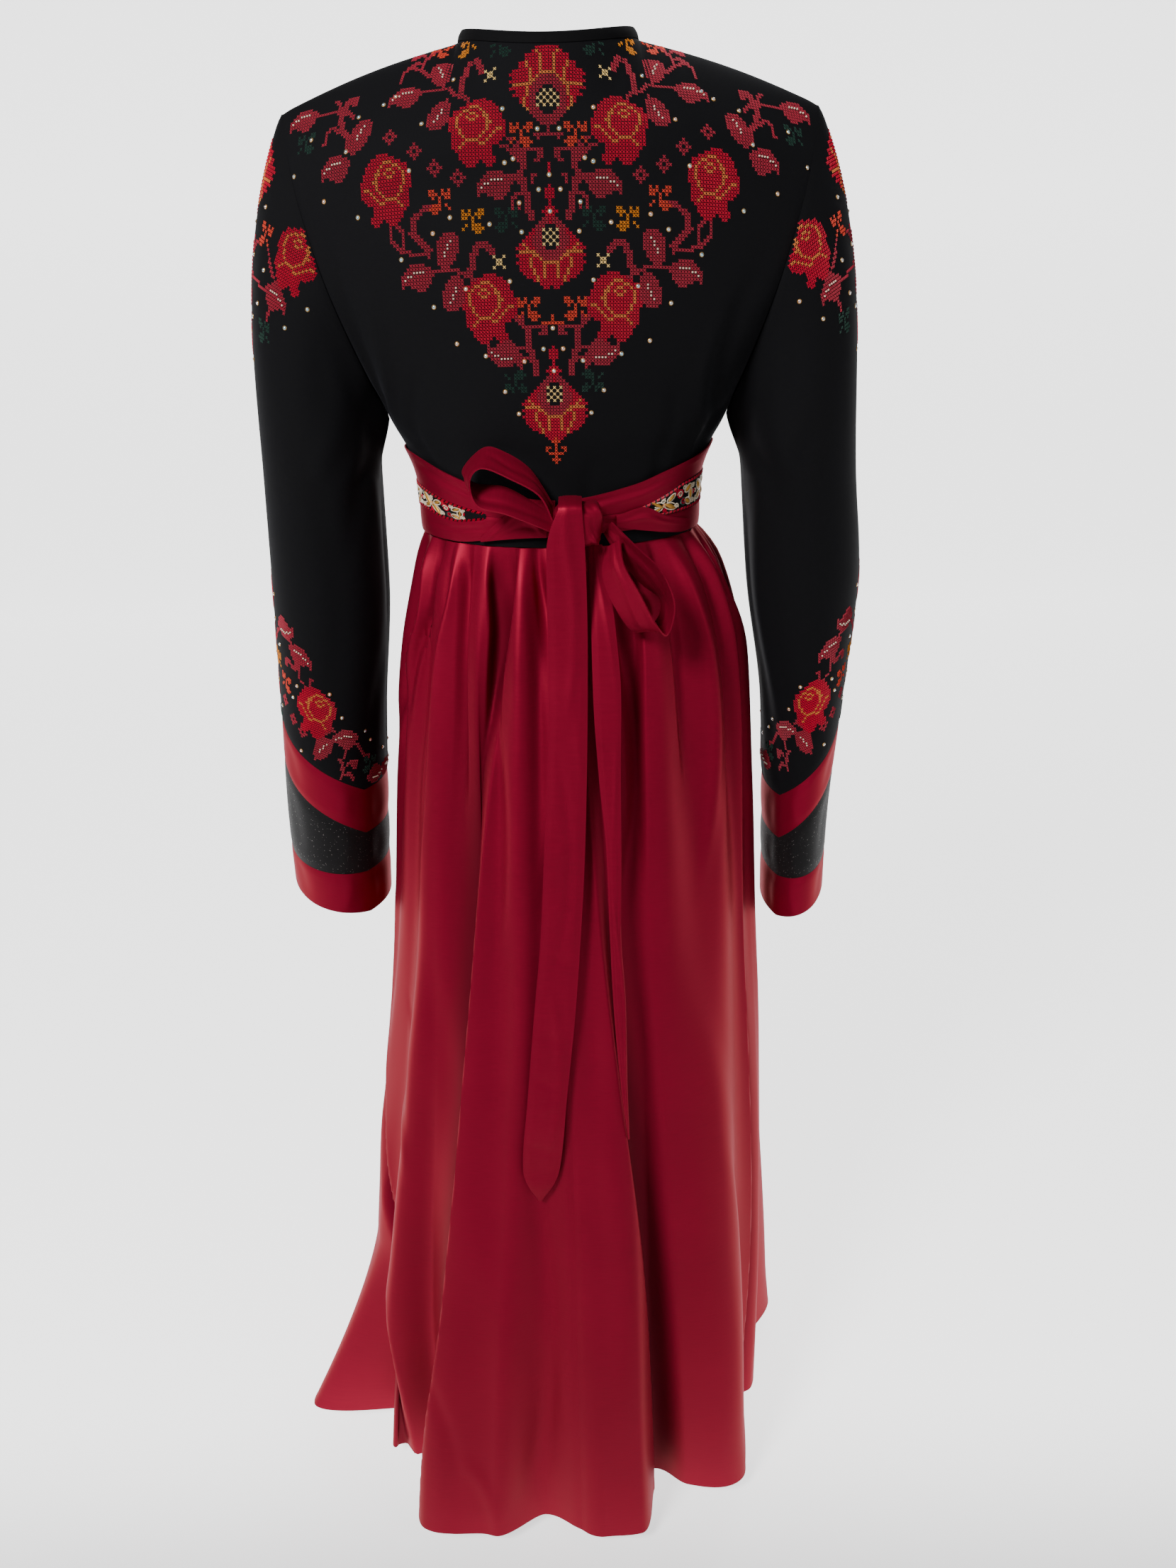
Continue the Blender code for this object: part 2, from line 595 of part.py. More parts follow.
def sleeve_tube(name, side, rows, finish):
    """A sleeve piece from rows, each a function of the angle that gives how far down it lies."""
    angles = [360.0 * c / SLEEVE_COLUMNS - 180.0 for c in range(SLEEVE_COLUMNS)]
    outer = []
    inner = []
    for row in rows:
        outer.append([sleeve_point(side, angle, row(angle)) for angle in angles])
        inner.append([point - sleeve_normal(side, angle, row(angle)) * CLOTH
                      for point, angle in zip(outer[-1], angles)])
    if rows[0](0.0) == 0.0:
        for c, angle in enumerate(angles):
            step = sleeve_leave(side, angle) * SEAM_GAP
            outer[0][c] = outer[0][c] + step
            inner[0][c] = inner[0][c] + step
    return add_wall(name, outer, inner, finish, tube=True)


def band_rows(side, upper, lower, count):
    """Rows from one chevron seam to the next, each with its half of the gap at the seams."""
    def row(share):
        def down(angle):
            top = chevron_z(side, upper, angle) - SEAM_GAP * 0.5
            bottom = chevron_z(side, lower, angle) + SEAM_GAP * 0.5
            return 1.0 + SLEEVE_RINGS[0].z - mix(top, bottom, share)
        return down
    return [row(i / count) for i in range(count + 1)]


def make_sleeve(side):
    hand = "right" if side > 0 else "left"
    name = "sleeve_" + hand
    cap = [lambda angle, share=share: share for share in CAP_ROWS]

    def arm_row(share):
        def down(angle):
            end = chevron_z(side, "sleeve_end", angle) + SEAM_GAP * 0.5
            return 1.0 + share * (SLEEVE_RINGS[0].z - end)
        return down

    arm = [arm_row(share) for share in ARM_ROWS]
    sleeve_tube(name, side, cap + arm, BLACK_CREPE)
    sleeve_tube(name + "_band_upper", side, band_rows(side, "sleeve_end", "upper_band_end", 1), CRIMSON_SATIN)
    sleeve_tube(name + "_band_black", side, band_rows(side, "upper_band_end", "black_band_end", 1),
                SPECKLED_BLACK)
    sleeve_tube(name + "_cuff", side, band_rows(side, "black_band_end", "cuff_end", 1), CRIMSON_SATIN)


# ---------------------------------------------------------------------------- skirt
def gather_wave(bearing):
    """Uneven gathers round the waist, between -1 and 1."""
    turn = math.radians(bearing)
    return math.cos(GATHERS * turn + 1.1 * math.sin(3 * turn + 0.6) + 0.7 * math.sin(5 * turn))


def fold_reach(bearing, z):
    """How far the large folds carry the skirt out at a bearing and height."""
    down = (WAIST_Z - z) / (WAIST_Z - HEM_Z)
    rows = []
    for fold in SKIRT_FOLDS:
        grown = min(max((fold.start - z) / (fold.start - HEM_Z), 0.0), 1.0)
        rows.append((fold.bearing + fold.drift * (1.0 - down), fold.reach * grown ** FOLD_GROWTH))
    rows = [(rows[-1][0] - 360.0, rows[-1][1])] + rows + [(rows[0][0] + 360.0, rows[0][1])]
    bearing = (bearing - rows[0][0]) % 360.0 + rows[0][0]
    for (low, low_reach), (high, high_reach) in zip(rows, rows[1:]):
        if bearing <= high:
            share = (bearing - low) / (high - low)
            return mix(low_reach, high_reach, 0.5 - 0.5 * math.cos(math.pi * share))
    return rows[-1][1]


def skirt_at(bearing, z):
    """Point of the skirt's outer face at a bearing and a height."""
    turn = math.radians(bearing)
    side = SKIRT_CURVES["right"](z) if math.sin(turn) >= 0.0 else SKIRT_CURVES["left"](z)
    depth = SKIRT_CURVES["back"](z) if math.cos(turn) >= 0.0 else SKIRT_CURVES["front"](z)
    reach = fold_reach(bearing, z) + GATHER_CURVE(z) * gather_wave(bearing)
    return Vector(((side + reach) * math.sin(turn), -(depth + reach) * math.cos(turn), z))


def skirt_point(bearing, share):
    """Point of the skirt: share runs from 0 at the waist seam to 1 at the hem."""
    hem = HEM_Z + HEM_LIFT * fold_reach(bearing, HEM_Z)
    return skirt_at(bearing, mix(WAIST_Z - SEAM_GAP, hem, share))


def make_skirt_panel(name, start, end):
    count = round((end - start) / SKIRT_STEP)
    bearings = span(start, end, count)
    half_gap = math.degrees(SEAM_GAP * 0.5 / SKIRT_LEVELS[0].back)
    bearings[0] += half_gap
    bearings[-1] -= half_gap
    outer = []
    inner = []
    for share in SKIRT_ROWS:
        near = min(max(share, STEP), 1.0 - STEP)
        outer.append([skirt_point(bearing, share) for bearing in bearings])
        inner.append([point - outward(skirt_point, bearing, near, flip=True) * CLOTH
                      for point, bearing in zip(outer[-1], bearings)])
    return add_wall(name, outer, inner, CRIMSON_SATIN)


# ---------------------------------------------------------------------------- belt
def belt_point(bearing, z, lift):
    """Point lying on the bodice at a bearing and height, moved out by lift."""
    height = torso_height(bearing, z)
    normal = outward(torso_point, bearing, max(height, STEP), flip=False)
    point = torso_point(bearing, height)
    if normal.dot(Vector((point.x, point.y, 0.0))) < 0.0:
        normal = -normal
    return point + normal * lift


def make_overlay(name, bearings, top, bottom, layer, finish):
    """A strip on the bodice between two edges; layer 0 lies on the bodice, 1 on the belt."""
    foot = LAY_GAP + layer * (CLOTH + LAY_GAP)
    outer = []
    inner = []
    for share in (0.0, 0.5, 1.0):
        outer.append([])
        inner.append([])
        for bearing in bearings:
            z = mix(top(bearing), bottom(bearing), share)
            outer[-1].append(belt_point(bearing, z, foot + CLOTH))
            inner[-1].append(belt_point(bearing, z, foot))
    return add_wall(name, outer, inner, finish)


def make_belt():
    edges = {column: table_curve(BELT_EDGES, "bearing", column)
             for column in ("top", "strip_top", "strip_bottom", "bottom")}

    def wrap(bearing):
        return (bearing + 180.0) % 360.0 - 180.0

    def edge(column, shift):
        def height(bearing):
            bearing = wrap(bearing)
            if column in ("strip_top", "strip_bottom") and STRIP_END_LEFT < bearing < STRIP_END_RIGHT:
                return 0.5 * (edges["strip_top"](bearing) + edges["strip_bottom"](bearing)) + shift
            return edges[column](bearing) + shift
        return height

    half = SEAM_GAP * 0.5
    quarter = [share * 90.0 for share in bodice_shares() if share > 0.0]
    half_turn = quarter + [180.0 - bearing for bearing in reversed(quarter[:-1])]
    whole = [BELT_OPENING] + half_turn + [180.0] + [360.0 - bearing for bearing in reversed(half_turn)]
    whole.append(360.0 - BELT_OPENING)
    strip = [bearing for bearing in whole if STRIP_END_RIGHT <= bearing <= 360.0 + STRIP_END_LEFT]
    make_overlay("belt_upper_strip", whole, edge("top", 0.0), edge("strip_top", half), 0, CRIMSON_SATIN)
    make_overlay("belt_embroidered_strip", strip, edge("strip_top", -half), edge("strip_bottom", half), 0,
                 STRIP_CLOTH)
    make_overlay("belt_lower_strip", whole, edge("strip_bottom", -half), edge("bottom", 0.0), 0,
                 CRIMSON_SATIN)
    for name, rows in (("belt_end_left", LEFT_FLAP), ("belt_end_right", RIGHT_FLAP)):
        ends = (rows[0].bearing, rows[-1].bearing)
        columns = [share * 90.0 for share in bodice_shares() if ends[0] < share * 90.0 < ends[1]]
        bearings = sorted(columns + span(*ends, FLAP_COLUMNS))
        make_overlay(name, bearings, table_curve(rows, "bearing", "top"),
                     table_curve(rows, "bearing", "bottom"), 1, CRIMSON_SATIN)


# ---------------------------------------------------------------------------- bow
def make_knot():
    """A ball drawn out to a rounded block of wrapped ribbon."""
    shape = bmesh.new()
    bmesh.ops.create_uvsphere(shape, u_segments=KNOT_SIDES, v_segments=KNOT_RINGS, radius=1.0)
    for vert in shape.verts:
        for axis in range(3):
            reach = math.copysign(abs(vert.co[axis]) ** KNOT_ROUNDNESS, vert.co[axis])
            vert.co[axis] = reach * KNOT_HALF_SIZE[axis]
        vert.co += KNOT_CENTRE
    return add_solid("bow_knot", shape, CRIMSON_SATIN)


def make_loop(name, rows):
    """A loop of ribbon along its middle line, with its face turned as the table says."""
    middles = [Vector((row.x, row.y, row.z)) for row in rows]
    edges = [Vector((row.edge_x, row.edge_y, row.edge_z)) for row in rows]
    line = []
    for i in range(len(rows) - 1):
        ahead = min(i + 2, len(rows) - 1)
        back = max(i - 1, 0)
        last = i == len(rows) - 2
        for n in range(RIBBON_ROWS_PER_SPAN + (1 if last else 0)):
            share = n / RIBBON_ROWS_PER_SPAN
            middle = spline(middles[back], middles[i], middles[i + 1], middles[ahead], share)
            edge = spline(edges[back], edges[i], edges[i + 1], edges[ahead], share)
            line.append((middle, edge))
    outer = []
    inner = []
    for i, (middle, edge) in enumerate(line):
        along = line[min(i + 1, len(line) - 1)][0] - line[max(i - 1, 0)][0]
        face = along.cross(edge).normalized() * RIBBON * 0.5
        across = [middle + edge * share for share in (-1.0, 0.0, 1.0)]
        outer.append([point + face for point in across])
        inner.append([point - face for point in across])
    return add_wall(name, outer, inner, CRIMSON_SATIN)


def skirt_back_y(left, right, low, high):
    """The furthest out that the skirt's back comes between two edges and two heights."""
    furthest = 0.0
    for z in span(low, min(high, WAIST_Z), 4):
        for bearing in span(-TIE_SWEEP, TIE_SWEEP, 160):
            point = skirt_at(bearing, z)
            if left <= point.x <= right:
                furthest = min(furthest, point.y)
    return furthest


def make_tie(name, rows, start_y):
    """A tie that leaves the knot at start_y and comes to rest on the skirt's folds."""
    left = table_curve(rows, "z", "left", sign=-1.0)
    right = table_curve(rows, "z", "right", sign=-1.0)
    heights = [row.z for row in rows]
    heights = sorted(heights + [0.5 * (a + b) for a, b in zip(heights, heights[1:])], reverse=True)
    outer = []
    inner = []
    for i, z in enumerate(heights):
        low = heights[min(i + 1, len(heights) - 1)]
        high = heights[max(i - 1, 0)]
        y = start_y
        if low < WAIST_Z:
            rest = skirt_back_y(left(z) - TIE_MARGIN, right(z) + TIE_MARGIN, low, high)
            y = min(start_y, rest - TIE_CLEARANCE)
        across = [Vector((mix(left(z), right(z), share), y, z)) for share in (0.0, 0.5, 1.0)]
        inner.append(across)
        outer.append([point - Vector((0.0, RIBBON, 0.0)) for point in across])
    return add_wall(name, outer, inner, CRIMSON_SATIN)


def make_bow():
    make_knot()
    make_loop("bow_loop_left", LEFT_LOOP)
    make_loop("bow_loop_right", RIGHT_LOOP)
    knot_face = KNOT_CENTRE.y - KNOT_HALF_SIZE.y - SEAM_GAP
    make_tie("tie_long", LONG_TIE, knot_face)
    make_tie("tie_short", SHORT_TIE, SHORT_TIE_Y)


# ---------------------------------------------------------------------------- the dress
RING_CURVES = {column: table_curve(SLEEVE_RINGS, "z", column, sign=-1.0)
               for column in Ring._fields[1:]}
SKIRT_CURVES = {column: table_curve(SKIRT_LEVELS, "z", column, sign=-1.0)
                for column in Girth._fields[1:]}
GATHER_CURVE = table_curve(GATHER_DEPTHS, "z", "gather", sign=-1.0)


def main():
    for thing in list(bpy.data.objects):
        bpy.data.objects.remove(thing)
    collection = bpy.data.collections.new(COLLECTION_NAME)
    bpy.context.scene.collection.children.link(collection)
    make_bodice("back")
    make_bodice("front")
    make_binding()
    make_sleeve(-1)
    make_sleeve(1)
    make_skirt_panel("skirt_back_left", -90.0, 0.0)
    make_skirt_panel("skirt_back_right", 0.0, 90.0)
    make_skirt_panel("skirt_front", 90.0, 270.0)
    make_belt()
    make_bow()


main()
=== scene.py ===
"""The looks of a long embroidered dress: cloth, stitches, beads, belt, bow, stage and light.

It is laid out as a Blender add-on and run as a script.  Every shell of cloth follows the surface of the
solid that it stands for, worked out again from the same tables, with creases laid over it.
Metres, +Z up; -Y is the wearer's back, +X the wearer's right, and a bearing is measured from the middle
of the back, +90 degrees on the +X side.
"""
import math
from collections import namedtuple

import bpy
import numpy as np
from bpy.props import FloatProperty, FloatVectorProperty, PointerProperty
from mathutils import Matrix, Vector
from mathutils.bvhtree import BVHTree


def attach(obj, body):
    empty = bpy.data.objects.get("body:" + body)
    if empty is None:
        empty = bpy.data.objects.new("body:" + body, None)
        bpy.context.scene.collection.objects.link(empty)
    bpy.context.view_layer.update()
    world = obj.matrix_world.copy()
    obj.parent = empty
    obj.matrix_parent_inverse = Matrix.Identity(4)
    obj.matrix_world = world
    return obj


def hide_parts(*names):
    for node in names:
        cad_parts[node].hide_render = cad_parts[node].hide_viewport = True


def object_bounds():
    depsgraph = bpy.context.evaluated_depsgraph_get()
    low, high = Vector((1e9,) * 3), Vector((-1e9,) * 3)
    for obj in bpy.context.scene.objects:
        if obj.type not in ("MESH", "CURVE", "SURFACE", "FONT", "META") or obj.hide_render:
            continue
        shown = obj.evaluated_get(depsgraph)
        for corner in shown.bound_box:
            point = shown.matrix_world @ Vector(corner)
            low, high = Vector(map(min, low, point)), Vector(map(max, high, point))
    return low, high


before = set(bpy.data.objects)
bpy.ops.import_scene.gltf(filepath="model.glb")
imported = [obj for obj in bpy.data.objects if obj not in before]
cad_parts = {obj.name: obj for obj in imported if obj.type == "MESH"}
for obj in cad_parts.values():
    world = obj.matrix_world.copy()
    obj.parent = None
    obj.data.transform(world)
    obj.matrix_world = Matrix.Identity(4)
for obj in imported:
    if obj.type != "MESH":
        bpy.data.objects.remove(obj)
CAD_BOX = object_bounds()

bl_info = {
    "name": "Embroidered dress",
    "version": (1, 0, 0),
    "blender": (4, 5, 0),
    "location": "3D View > Sidebar > Dress",
    "description": "Makes the cloth, stitches, belt and bow of a long embroidered dress",
    "category": "Object",
}


def table(columns, *rows):
    """Rows whose columns are read by name; the last two are empty where a row leaves them out."""
    row = namedtuple("Row", columns, defaults=("", ""))
    return tuple(row(*values) for values in rows)


# ---------------------------------------------------------------------------- sizes of the cut
CLOTH = 0.0018              # thickness of the solids' cloth
RIBBON = 0.0016             # and of their ribbon
SEAM_GAP = 0.0003
LAY_GAP = 0.0006
STEP = 0.0005               # step used to measure a surface's slope
TINY = 1e-12                # keeps a length from being divided by nothing

NECK_HALF_WIDTH = 0.075
NECK_SIDE_Z = 0.004
NAPE_Y, NAPE_Z = -0.072, -0.006
THROAT_Y, THROAT_Z = 0.068, -0.070
BINDING_HEIGHT = 0.009
BINDING_LEAN = 0.45
SHOULDER_HALF_WIDTH = 0.226
SHOULDER_Z = -0.044
SHOULDER_RISE = 0.004
NECK_SHARE = 0.33
NECK_BLEND = 0.12
WAIST_Z = -0.392
HEM_Z = -1.492
HEM_LIFT = 0.08
GATHERS = 22
GATHER_SWAY = ((3, 0.6, 1.1), (5, 0.0, 0.7))    # what shifts them: times round, start and reach
FOLD_GROWTH = 1.3

BODICE_LEVELS = table("edge_x edge_z back_edge_y front_edge_y back_y back_z front_y front_z arc",
    (0.13, WAIST_Z, 0.0, 0.0, -0.098, WAIST_Z, 0.096, WAIST_Z, 90),
    (0.1335, -0.335, 0.0, 0.0, -0.1, -0.335, 0.104, -0.335, 90),
    (0.155, -0.29, 0.0, 0.0, -0.108, -0.289, 0.121, -0.289, 90),
    (0.168, -0.248, -0.04, 0.036, -0.113, -0.236, 0.13, -0.24, 72),
    (0.19, -0.182, -0.06, 0.05, -0.112, -0.172, 0.121, -0.184, 58),
    (0.208, -0.122, -0.05, 0.042, -0.102, -0.11, 0.1, -0.136, 48),
    (0.22, -0.076, -0.026, 0.022, -0.089, -0.055, 0.084, -0.098, 42))
UNDERARM = 2
SHOULDER = len(BODICE_LEVELS)

SLEEVE_RINGS = table("z outer_left outer_right inner_left inner_right back_y front_y",
    (-0.345, 0.277, 0.279, 0.168, 0.172, -0.068, 0.07), (-0.45, 0.283, 0.29, 0.171, 0.182, -0.066, 0.076),
    (-0.58, 0.292, 0.284, 0.186, 0.203, -0.058, 0.084), (-0.7, 0.302, 0.28, 0.196, 0.211, -0.046, 0.094),
    (-0.83, 0.307, 0.283, 0.205, 0.217, -0.034, 0.102))
SLEEVE_LEAVES = table("angle out down",
    (0, 0.45, 0.89), (60, 0.64, 0.77), (120, 0.66, 0.75), (180, 0.16, 0.98))
CHEVRONS = {                # heights of the seams at the sleeve's inner and outer side
    "sleeve_end": (-0.656, -0.566), "upper_band_end": (-0.708, -0.612),
    "black_band_end": (-0.756, -0.729), "cuff_end": (-0.808, -0.770),
}
CHEVRON_REACH = 135
RIGHT_SLEEVE_DROP = 0.015

SKIRT_LEVELS = table("z left right back front",
    (WAIST_Z, 0.13, 0.13, 0.098, 0.096), (-0.43, 0.139, 0.153, 0.113, 0.107),
    (-0.5, 0.154, 0.174, 0.132, 0.121), (-0.65, 0.173, 0.19, 0.156, 0.141),
    (-0.82, 0.191, 0.202, 0.177, 0.16), (-1.0, 0.217, 0.217, 0.2, 0.183), (-1.15, 0.24, 0.229, 0.22, 0.204),
    (-1.3, 0.256, 0.238, 0.238, 0.224), (HEM_Z, 0.264, 0.246, 0.251, 0.243))
SKIRT_FOLDS = table("bearing drift reach start",
    (-152, 4, 0.03, -0.7), (-132, 3, -0.022, -0.75), (-113, 3, 0.032, -0.75), (-92, 2, -0.016, -0.9),
    (-74, 2, 0.094, -1.24), (-64, 2, -0.026, -0.7), (-55, 4, 0.022, -0.55), (-46, 3, -0.03, -0.75),
    (-34, 5, 0.056, -0.7), (-20, 5, 0.03, -0.75), (-9, 4, -0.01, -0.8), (6, 0, 0.018, -0.7),
    (15, -2, 0.022, -0.7), (24, -4, -0.03, -0.6), (44, -4, 0.029, -0.6), (60, -3, -0.028, -0.75),
    (74, -3, -0.014, -0.95), (88, -2, -0.026, -0.9), (105, -3, 0.024, -1.0), (125, -4, -0.02, -0.75),
    (143, -3, 0.03, -0.7), (161, -2, -0.022, -0.75), (178, 0, 0.028, -0.7), (194, 2, -0.022, -0.75))
GATHER_DEPTHS = table("z gather",
    (WAIST_Z, 0.001), (-0.42, 0.0042), (-0.5, 0.0055), (-0.65, 0.0042), (-0.85, 0.0024), (-1.1, 0.0008),
    (HEM_Z, 0.0))
BELT_EDGES = table("bearing top strip_top strip_bottom bottom",
    (-180, -0.318, -0.34, -0.369, -0.39), (-90, -0.314, -0.344, -0.367, -0.39),
    (-70, -0.316, -0.347, -0.367, -0.3905), (-45, -0.331, -0.357, -0.3725, -0.3905),
    (-24, -0.344, -0.364, -0.3668, -0.385), (0, -0.35, -0.366, -0.366, -0.3815),
    (30, -0.34, -0.3625, -0.364, -0.3795), (45, -0.331, -0.353, -0.3705, -0.3855),
    (60, -0.324, -0.343, -0.37, -0.3895), (90, -0.313, -0.3385, -0.369, -0.39),
    (180, -0.318, -0.34, -0.369, -0.39))
BELT_OPENING = 1.0
STRIP_END_LEFT = -29
STRIP_END_RIGHT = 29
FLAPS = {
    "belt_end_left": table("bearing top bottom",
        (-31.5, -0.384, -0.388), (-22.5, -0.367, -0.3848), (-15.0, -0.3545, -0.383),
        (-9.0, -0.3615, -0.3822), (-4.5, -0.3665, -0.382)),
    "belt_end_right": table("bearing top bottom",
        (22.5, -0.365, -0.3755), (34.0, -0.36, -0.3805), (46.0, -0.3705, -0.385), (63.0, -0.379, -0.3885)),
}
KNOT_CENTRE = np.array((0.018, -0.1200, -0.3660))
KNOT_HALF_SIZE = np.array((0.0220, 0.0190, 0.0195))
KNOT_ROUNDNESS = 0.55
LOOPS = {
    "bow_loop_left": table("x y z edge_x edge_y edge_z",
        (-0.0045, -0.12, -0.356, 0.0, -0.006, -0.006), (-0.019, -0.119, -0.331, 0.004, -0.011, -0.009),
        (-0.042, -0.118, -0.3165, 0.003, -0.013, -0.009), (-0.0625, -0.114, -0.311, 0.0, -0.014, -0.006),
        (-0.0775, -0.111, -0.326, 0.004, -0.014, -0.002), (-0.069, -0.114, -0.3415, 0.001, -0.013, -0.007),
        (-0.042, -0.118, -0.347, 0.0, -0.012, -0.009), (-0.0045, -0.119, -0.3665, 0.0, -0.007, -0.006)),
    "bow_loop_right": table("x y z edge_x edge_y edge_z",
        (0.043, -0.121, -0.37, 0.003, -0.006, 0.006), (0.06, -0.127, -0.3905, 0.007, -0.009, 0.007),
        (0.08, -0.127, -0.4125, 0.008, -0.011, 0.008), (0.0945, -0.126, -0.435, 0.0055, -0.0135, 0.001),
        (0.09, -0.13, -0.457, 0.004, -0.013, -0.003), (0.0745, -0.1395, -0.4545, 0.009, -0.01, 0.006),
        (0.058, -0.1425, -0.427, 0.011, -0.008, 0.007), (0.047, -0.136, -0.403, 0.009, -0.007, 0.006),
        (0.0472, -0.126, -0.383, 0.006, -0.006, 0.005)),
}
TIES = {
    "tie_long": table("z left right",
        (-0.35, 0.001, 0.021), (-0.366, -0.006, 0.022), (-0.384, -0.01, 0.023), (-0.45, -0.011, 0.024),
        (-0.518, -0.011, 0.023), (-0.59, -0.015, 0.021), (-0.663, -0.02, 0.018), (-0.74, -0.025, 0.013),
        (-0.825, -0.034, 0.006), (-0.915, -0.043, -0.004), (-1.005, -0.051, -0.014),
        (-1.045, -0.037, -0.032)),
    "tie_short": table("z left right",
        (-0.3858, 0.026, 0.038), (-0.45, 0.027, 0.048), (-0.518, 0.028, 0.053), (-0.59, 0.032, 0.052),
        (-0.663, 0.038, 0.052), (-0.74, 0.04, 0.051), (-0.82, 0.043, 0.055), (-0.905, 0.049, 0.056),
        (-0.971, 0.056, 0.058)),
}
TIE_CLEARANCE = 0.0009
TIE_MARGIN = 0.004
TIE_SWEEP = 40.0
TIE_SAMPLES = (161, 5)      # bearings and heights at which the skirt under a tie is measured
SHORT_TIE_Y = -0.114
HEIGHT_HALVINGS = 22        # steps of the search for a height on the bodice


# ---------------------------------------------------------------------------- curves and surfaces
def smooth_curve(keys, values):
    """A smooth function through values at rising keys, which never runs past a high or a low."""
    keys = np.asarray(keys, float)
    values = np.asarray(values, float)
    spans = np.diff(keys)
    slopes = np.diff(values) / spans
    before, after = slopes[:-1], slopes[1:]
    both = before + after
    level = before * after <= 0.0
    inner = np.where(level, 0.0, 2.0 * before * after / np.where(level, 1.0, both))
    tangents = np.concatenate((slopes[:1], inner, slopes[-1:]))

    def curve(key):
        key = np.clip(key, keys[0], keys[-1])
        i = np.clip(np.searchsorted(keys, key) - 1, 0, len(spans) - 1)
        share = (key - keys[i]) / spans[i]
        rest = 1.0 - share
        start = values[i] * (1.0 + 2.0 * share) * rest * rest
        end = values[i + 1] * share * share * (3.0 - 2.0 * share)
        slope = (tangents[i] * rest - tangents[i + 1] * share) * share * rest * spans[i]
        return start + end + slope

    return curve


def column_curves(rows, sign=1.0):
    """Smooth functions of a table's first column, one for each other column; sign is -1 where it falls."""
    keys = [sign * row[0] for row in rows]
    curves = {}
    for n, column in enumerate(rows[0]._fields[1:], 1):
        curve = smooth_curve(keys, [row[n] for row in rows])
        curves[column] = lambda value, curve=curve: curve(sign * value)
    return curves


def cubic(start, end, leave, arrive, share):
    """Point on the curve from start to end that leaves and arrives at two given slopes."""
    rest = 1.0 - share
    return (start * (1.0 + 2.0 * share) * rest * rest + end * share * share * (3.0 - 2.0 * share)
            + leave * share * rest * rest - arrive * share * share * rest)


def spline(before, start, end, after, share):
    """Point on the smooth curve from start to end, given the points before and after them."""
    return cubic(start, end, (end - before) * 0.5, (after - start) * 0.5, share)


def mix(a, b, share):
    return a + (b - a) * share


def ease(value, low=0.0, high=1.0):
    """0 below low, 1 above high, and smooth between them."""
    share = np.clip((value - low) / (high - low), 0.0, 1.0)
    return share * share * (3.0 - 2.0 * share)


def wrapped(degrees):
    """The same angle, from -180 up to 180."""
    return (degrees + 180.0) % 360.0 - 180.0


def xyz(x, y, z):
    return np.stack(np.broadcast_arrays(x, y, z), -1).astype(float)


def unit(vectors):
    return vectors / np.maximum(np.linalg.norm(vectors, axis=-1, keepdims=True), TINY)


def pick(points, index):
    """From a stack of point arrays, the one that each index names."""
    return np.take_along_axis(points, index[None, ..., None], 0)[0]


def level_point(level, share, back):
    edge_y = level.back_edge_y if back else level.front_edge_y
    mid_y = level.back_y if back else level.front_y
    mid_z = level.back_z if back else level.front_z
    arc = math.radians(level.arc)
    bow = (np.cos(share * arc) - math.cos(arc)) / (1.0 - math.cos(arc))
    x = level.edge_x * np.sin(share * arc) / math.sin(arc)
    return xyz(x, mix(edge_y, mid_y, bow), mix(mid_z, level.edge_z, share * share))


def top_point(share, back):
    """The panel's top edge: the neck seam, then the shoulder seam."""
    mid_y, mid_z = (NAPE_Y, NAPE_Z) if back else (THROAT_Y, THROAT_Z)
    reach = np.abs(share)
    turn = np.radians(90.0) * share / NECK_SHARE
    neck_z = mix(mid_z, NECK_SIDE_Z, np.sin(turn) ** 2)
    neck = xyz(NECK_HALF_WIDTH * np.sin(turn), mid_y * np.cos(turn), neck_z)
    out = np.clip((reach - NECK_SHARE) / (1.0 - NECK_SHARE), 0.0, 1.0)
    x = mix(NECK_HALF_WIDTH, SHOULDER_HALF_WIDTH, out)
    z = mix(NECK_SIDE_Z, SHOULDER_Z, out) + SHOULDER_RISE * np.sin(math.pi * out)
    return np.where((reach <= NECK_SHARE)[..., None], neck, xyz(np.copysign(x, share), 0.0, z))


def bodice_point(share, height, back):
    """Point of the bodice: height counts the levels up from the waist, and SHOULDER is the top edge."""
    share, height = np.broadcast_arrays(np.asarray(share, float), np.asarray(height, float))
    points = [level_point(level, share, back) for level in BODICE_LEVELS] + [top_point(share, back)]
    last = points[-2]
    ridge = np.clip((np.abs(share) - NECK_SHARE + NECK_BLEND) / NECK_BLEND, 0.0, 1.0)[..., None]
    points.append(mix(points[-1] * 2.0 - last, last * (1.0, -1.0, 1.0), ridge))
    points.insert(0, points[0] * 2.0 - points[1])
    points = np.stack(points)
    i = np.clip(height.astype(int), 0, SHOULDER - 1)
    before, start, end, after = (pick(points, i + k) for k in range(4))
    corner = mix(after, end * 2.0 - start, np.abs(share)[..., None] ** 6)
    after = np.where((i + 1 == UNDERARM)[..., None], corner, after)
    return spline(before, start, end, after, (height - i)[..., None])


def torso_point(bearing, height):
    """Point of the closed bodice below the underarm, by bearing."""
    bearing = wrapped(np.asarray(bearing, float))
    front_share = np.copysign((180.0 - np.abs(bearing)) / 90.0, bearing)
    back = bodice_point(np.clip(bearing / 90.0, -1.0, 1.0), height, True)
    front = bodice_point(np.clip(front_share, -1.0, 1.0), height, False)
    return np.where((np.abs(bearing) <= 90.0)[..., None], back, front)


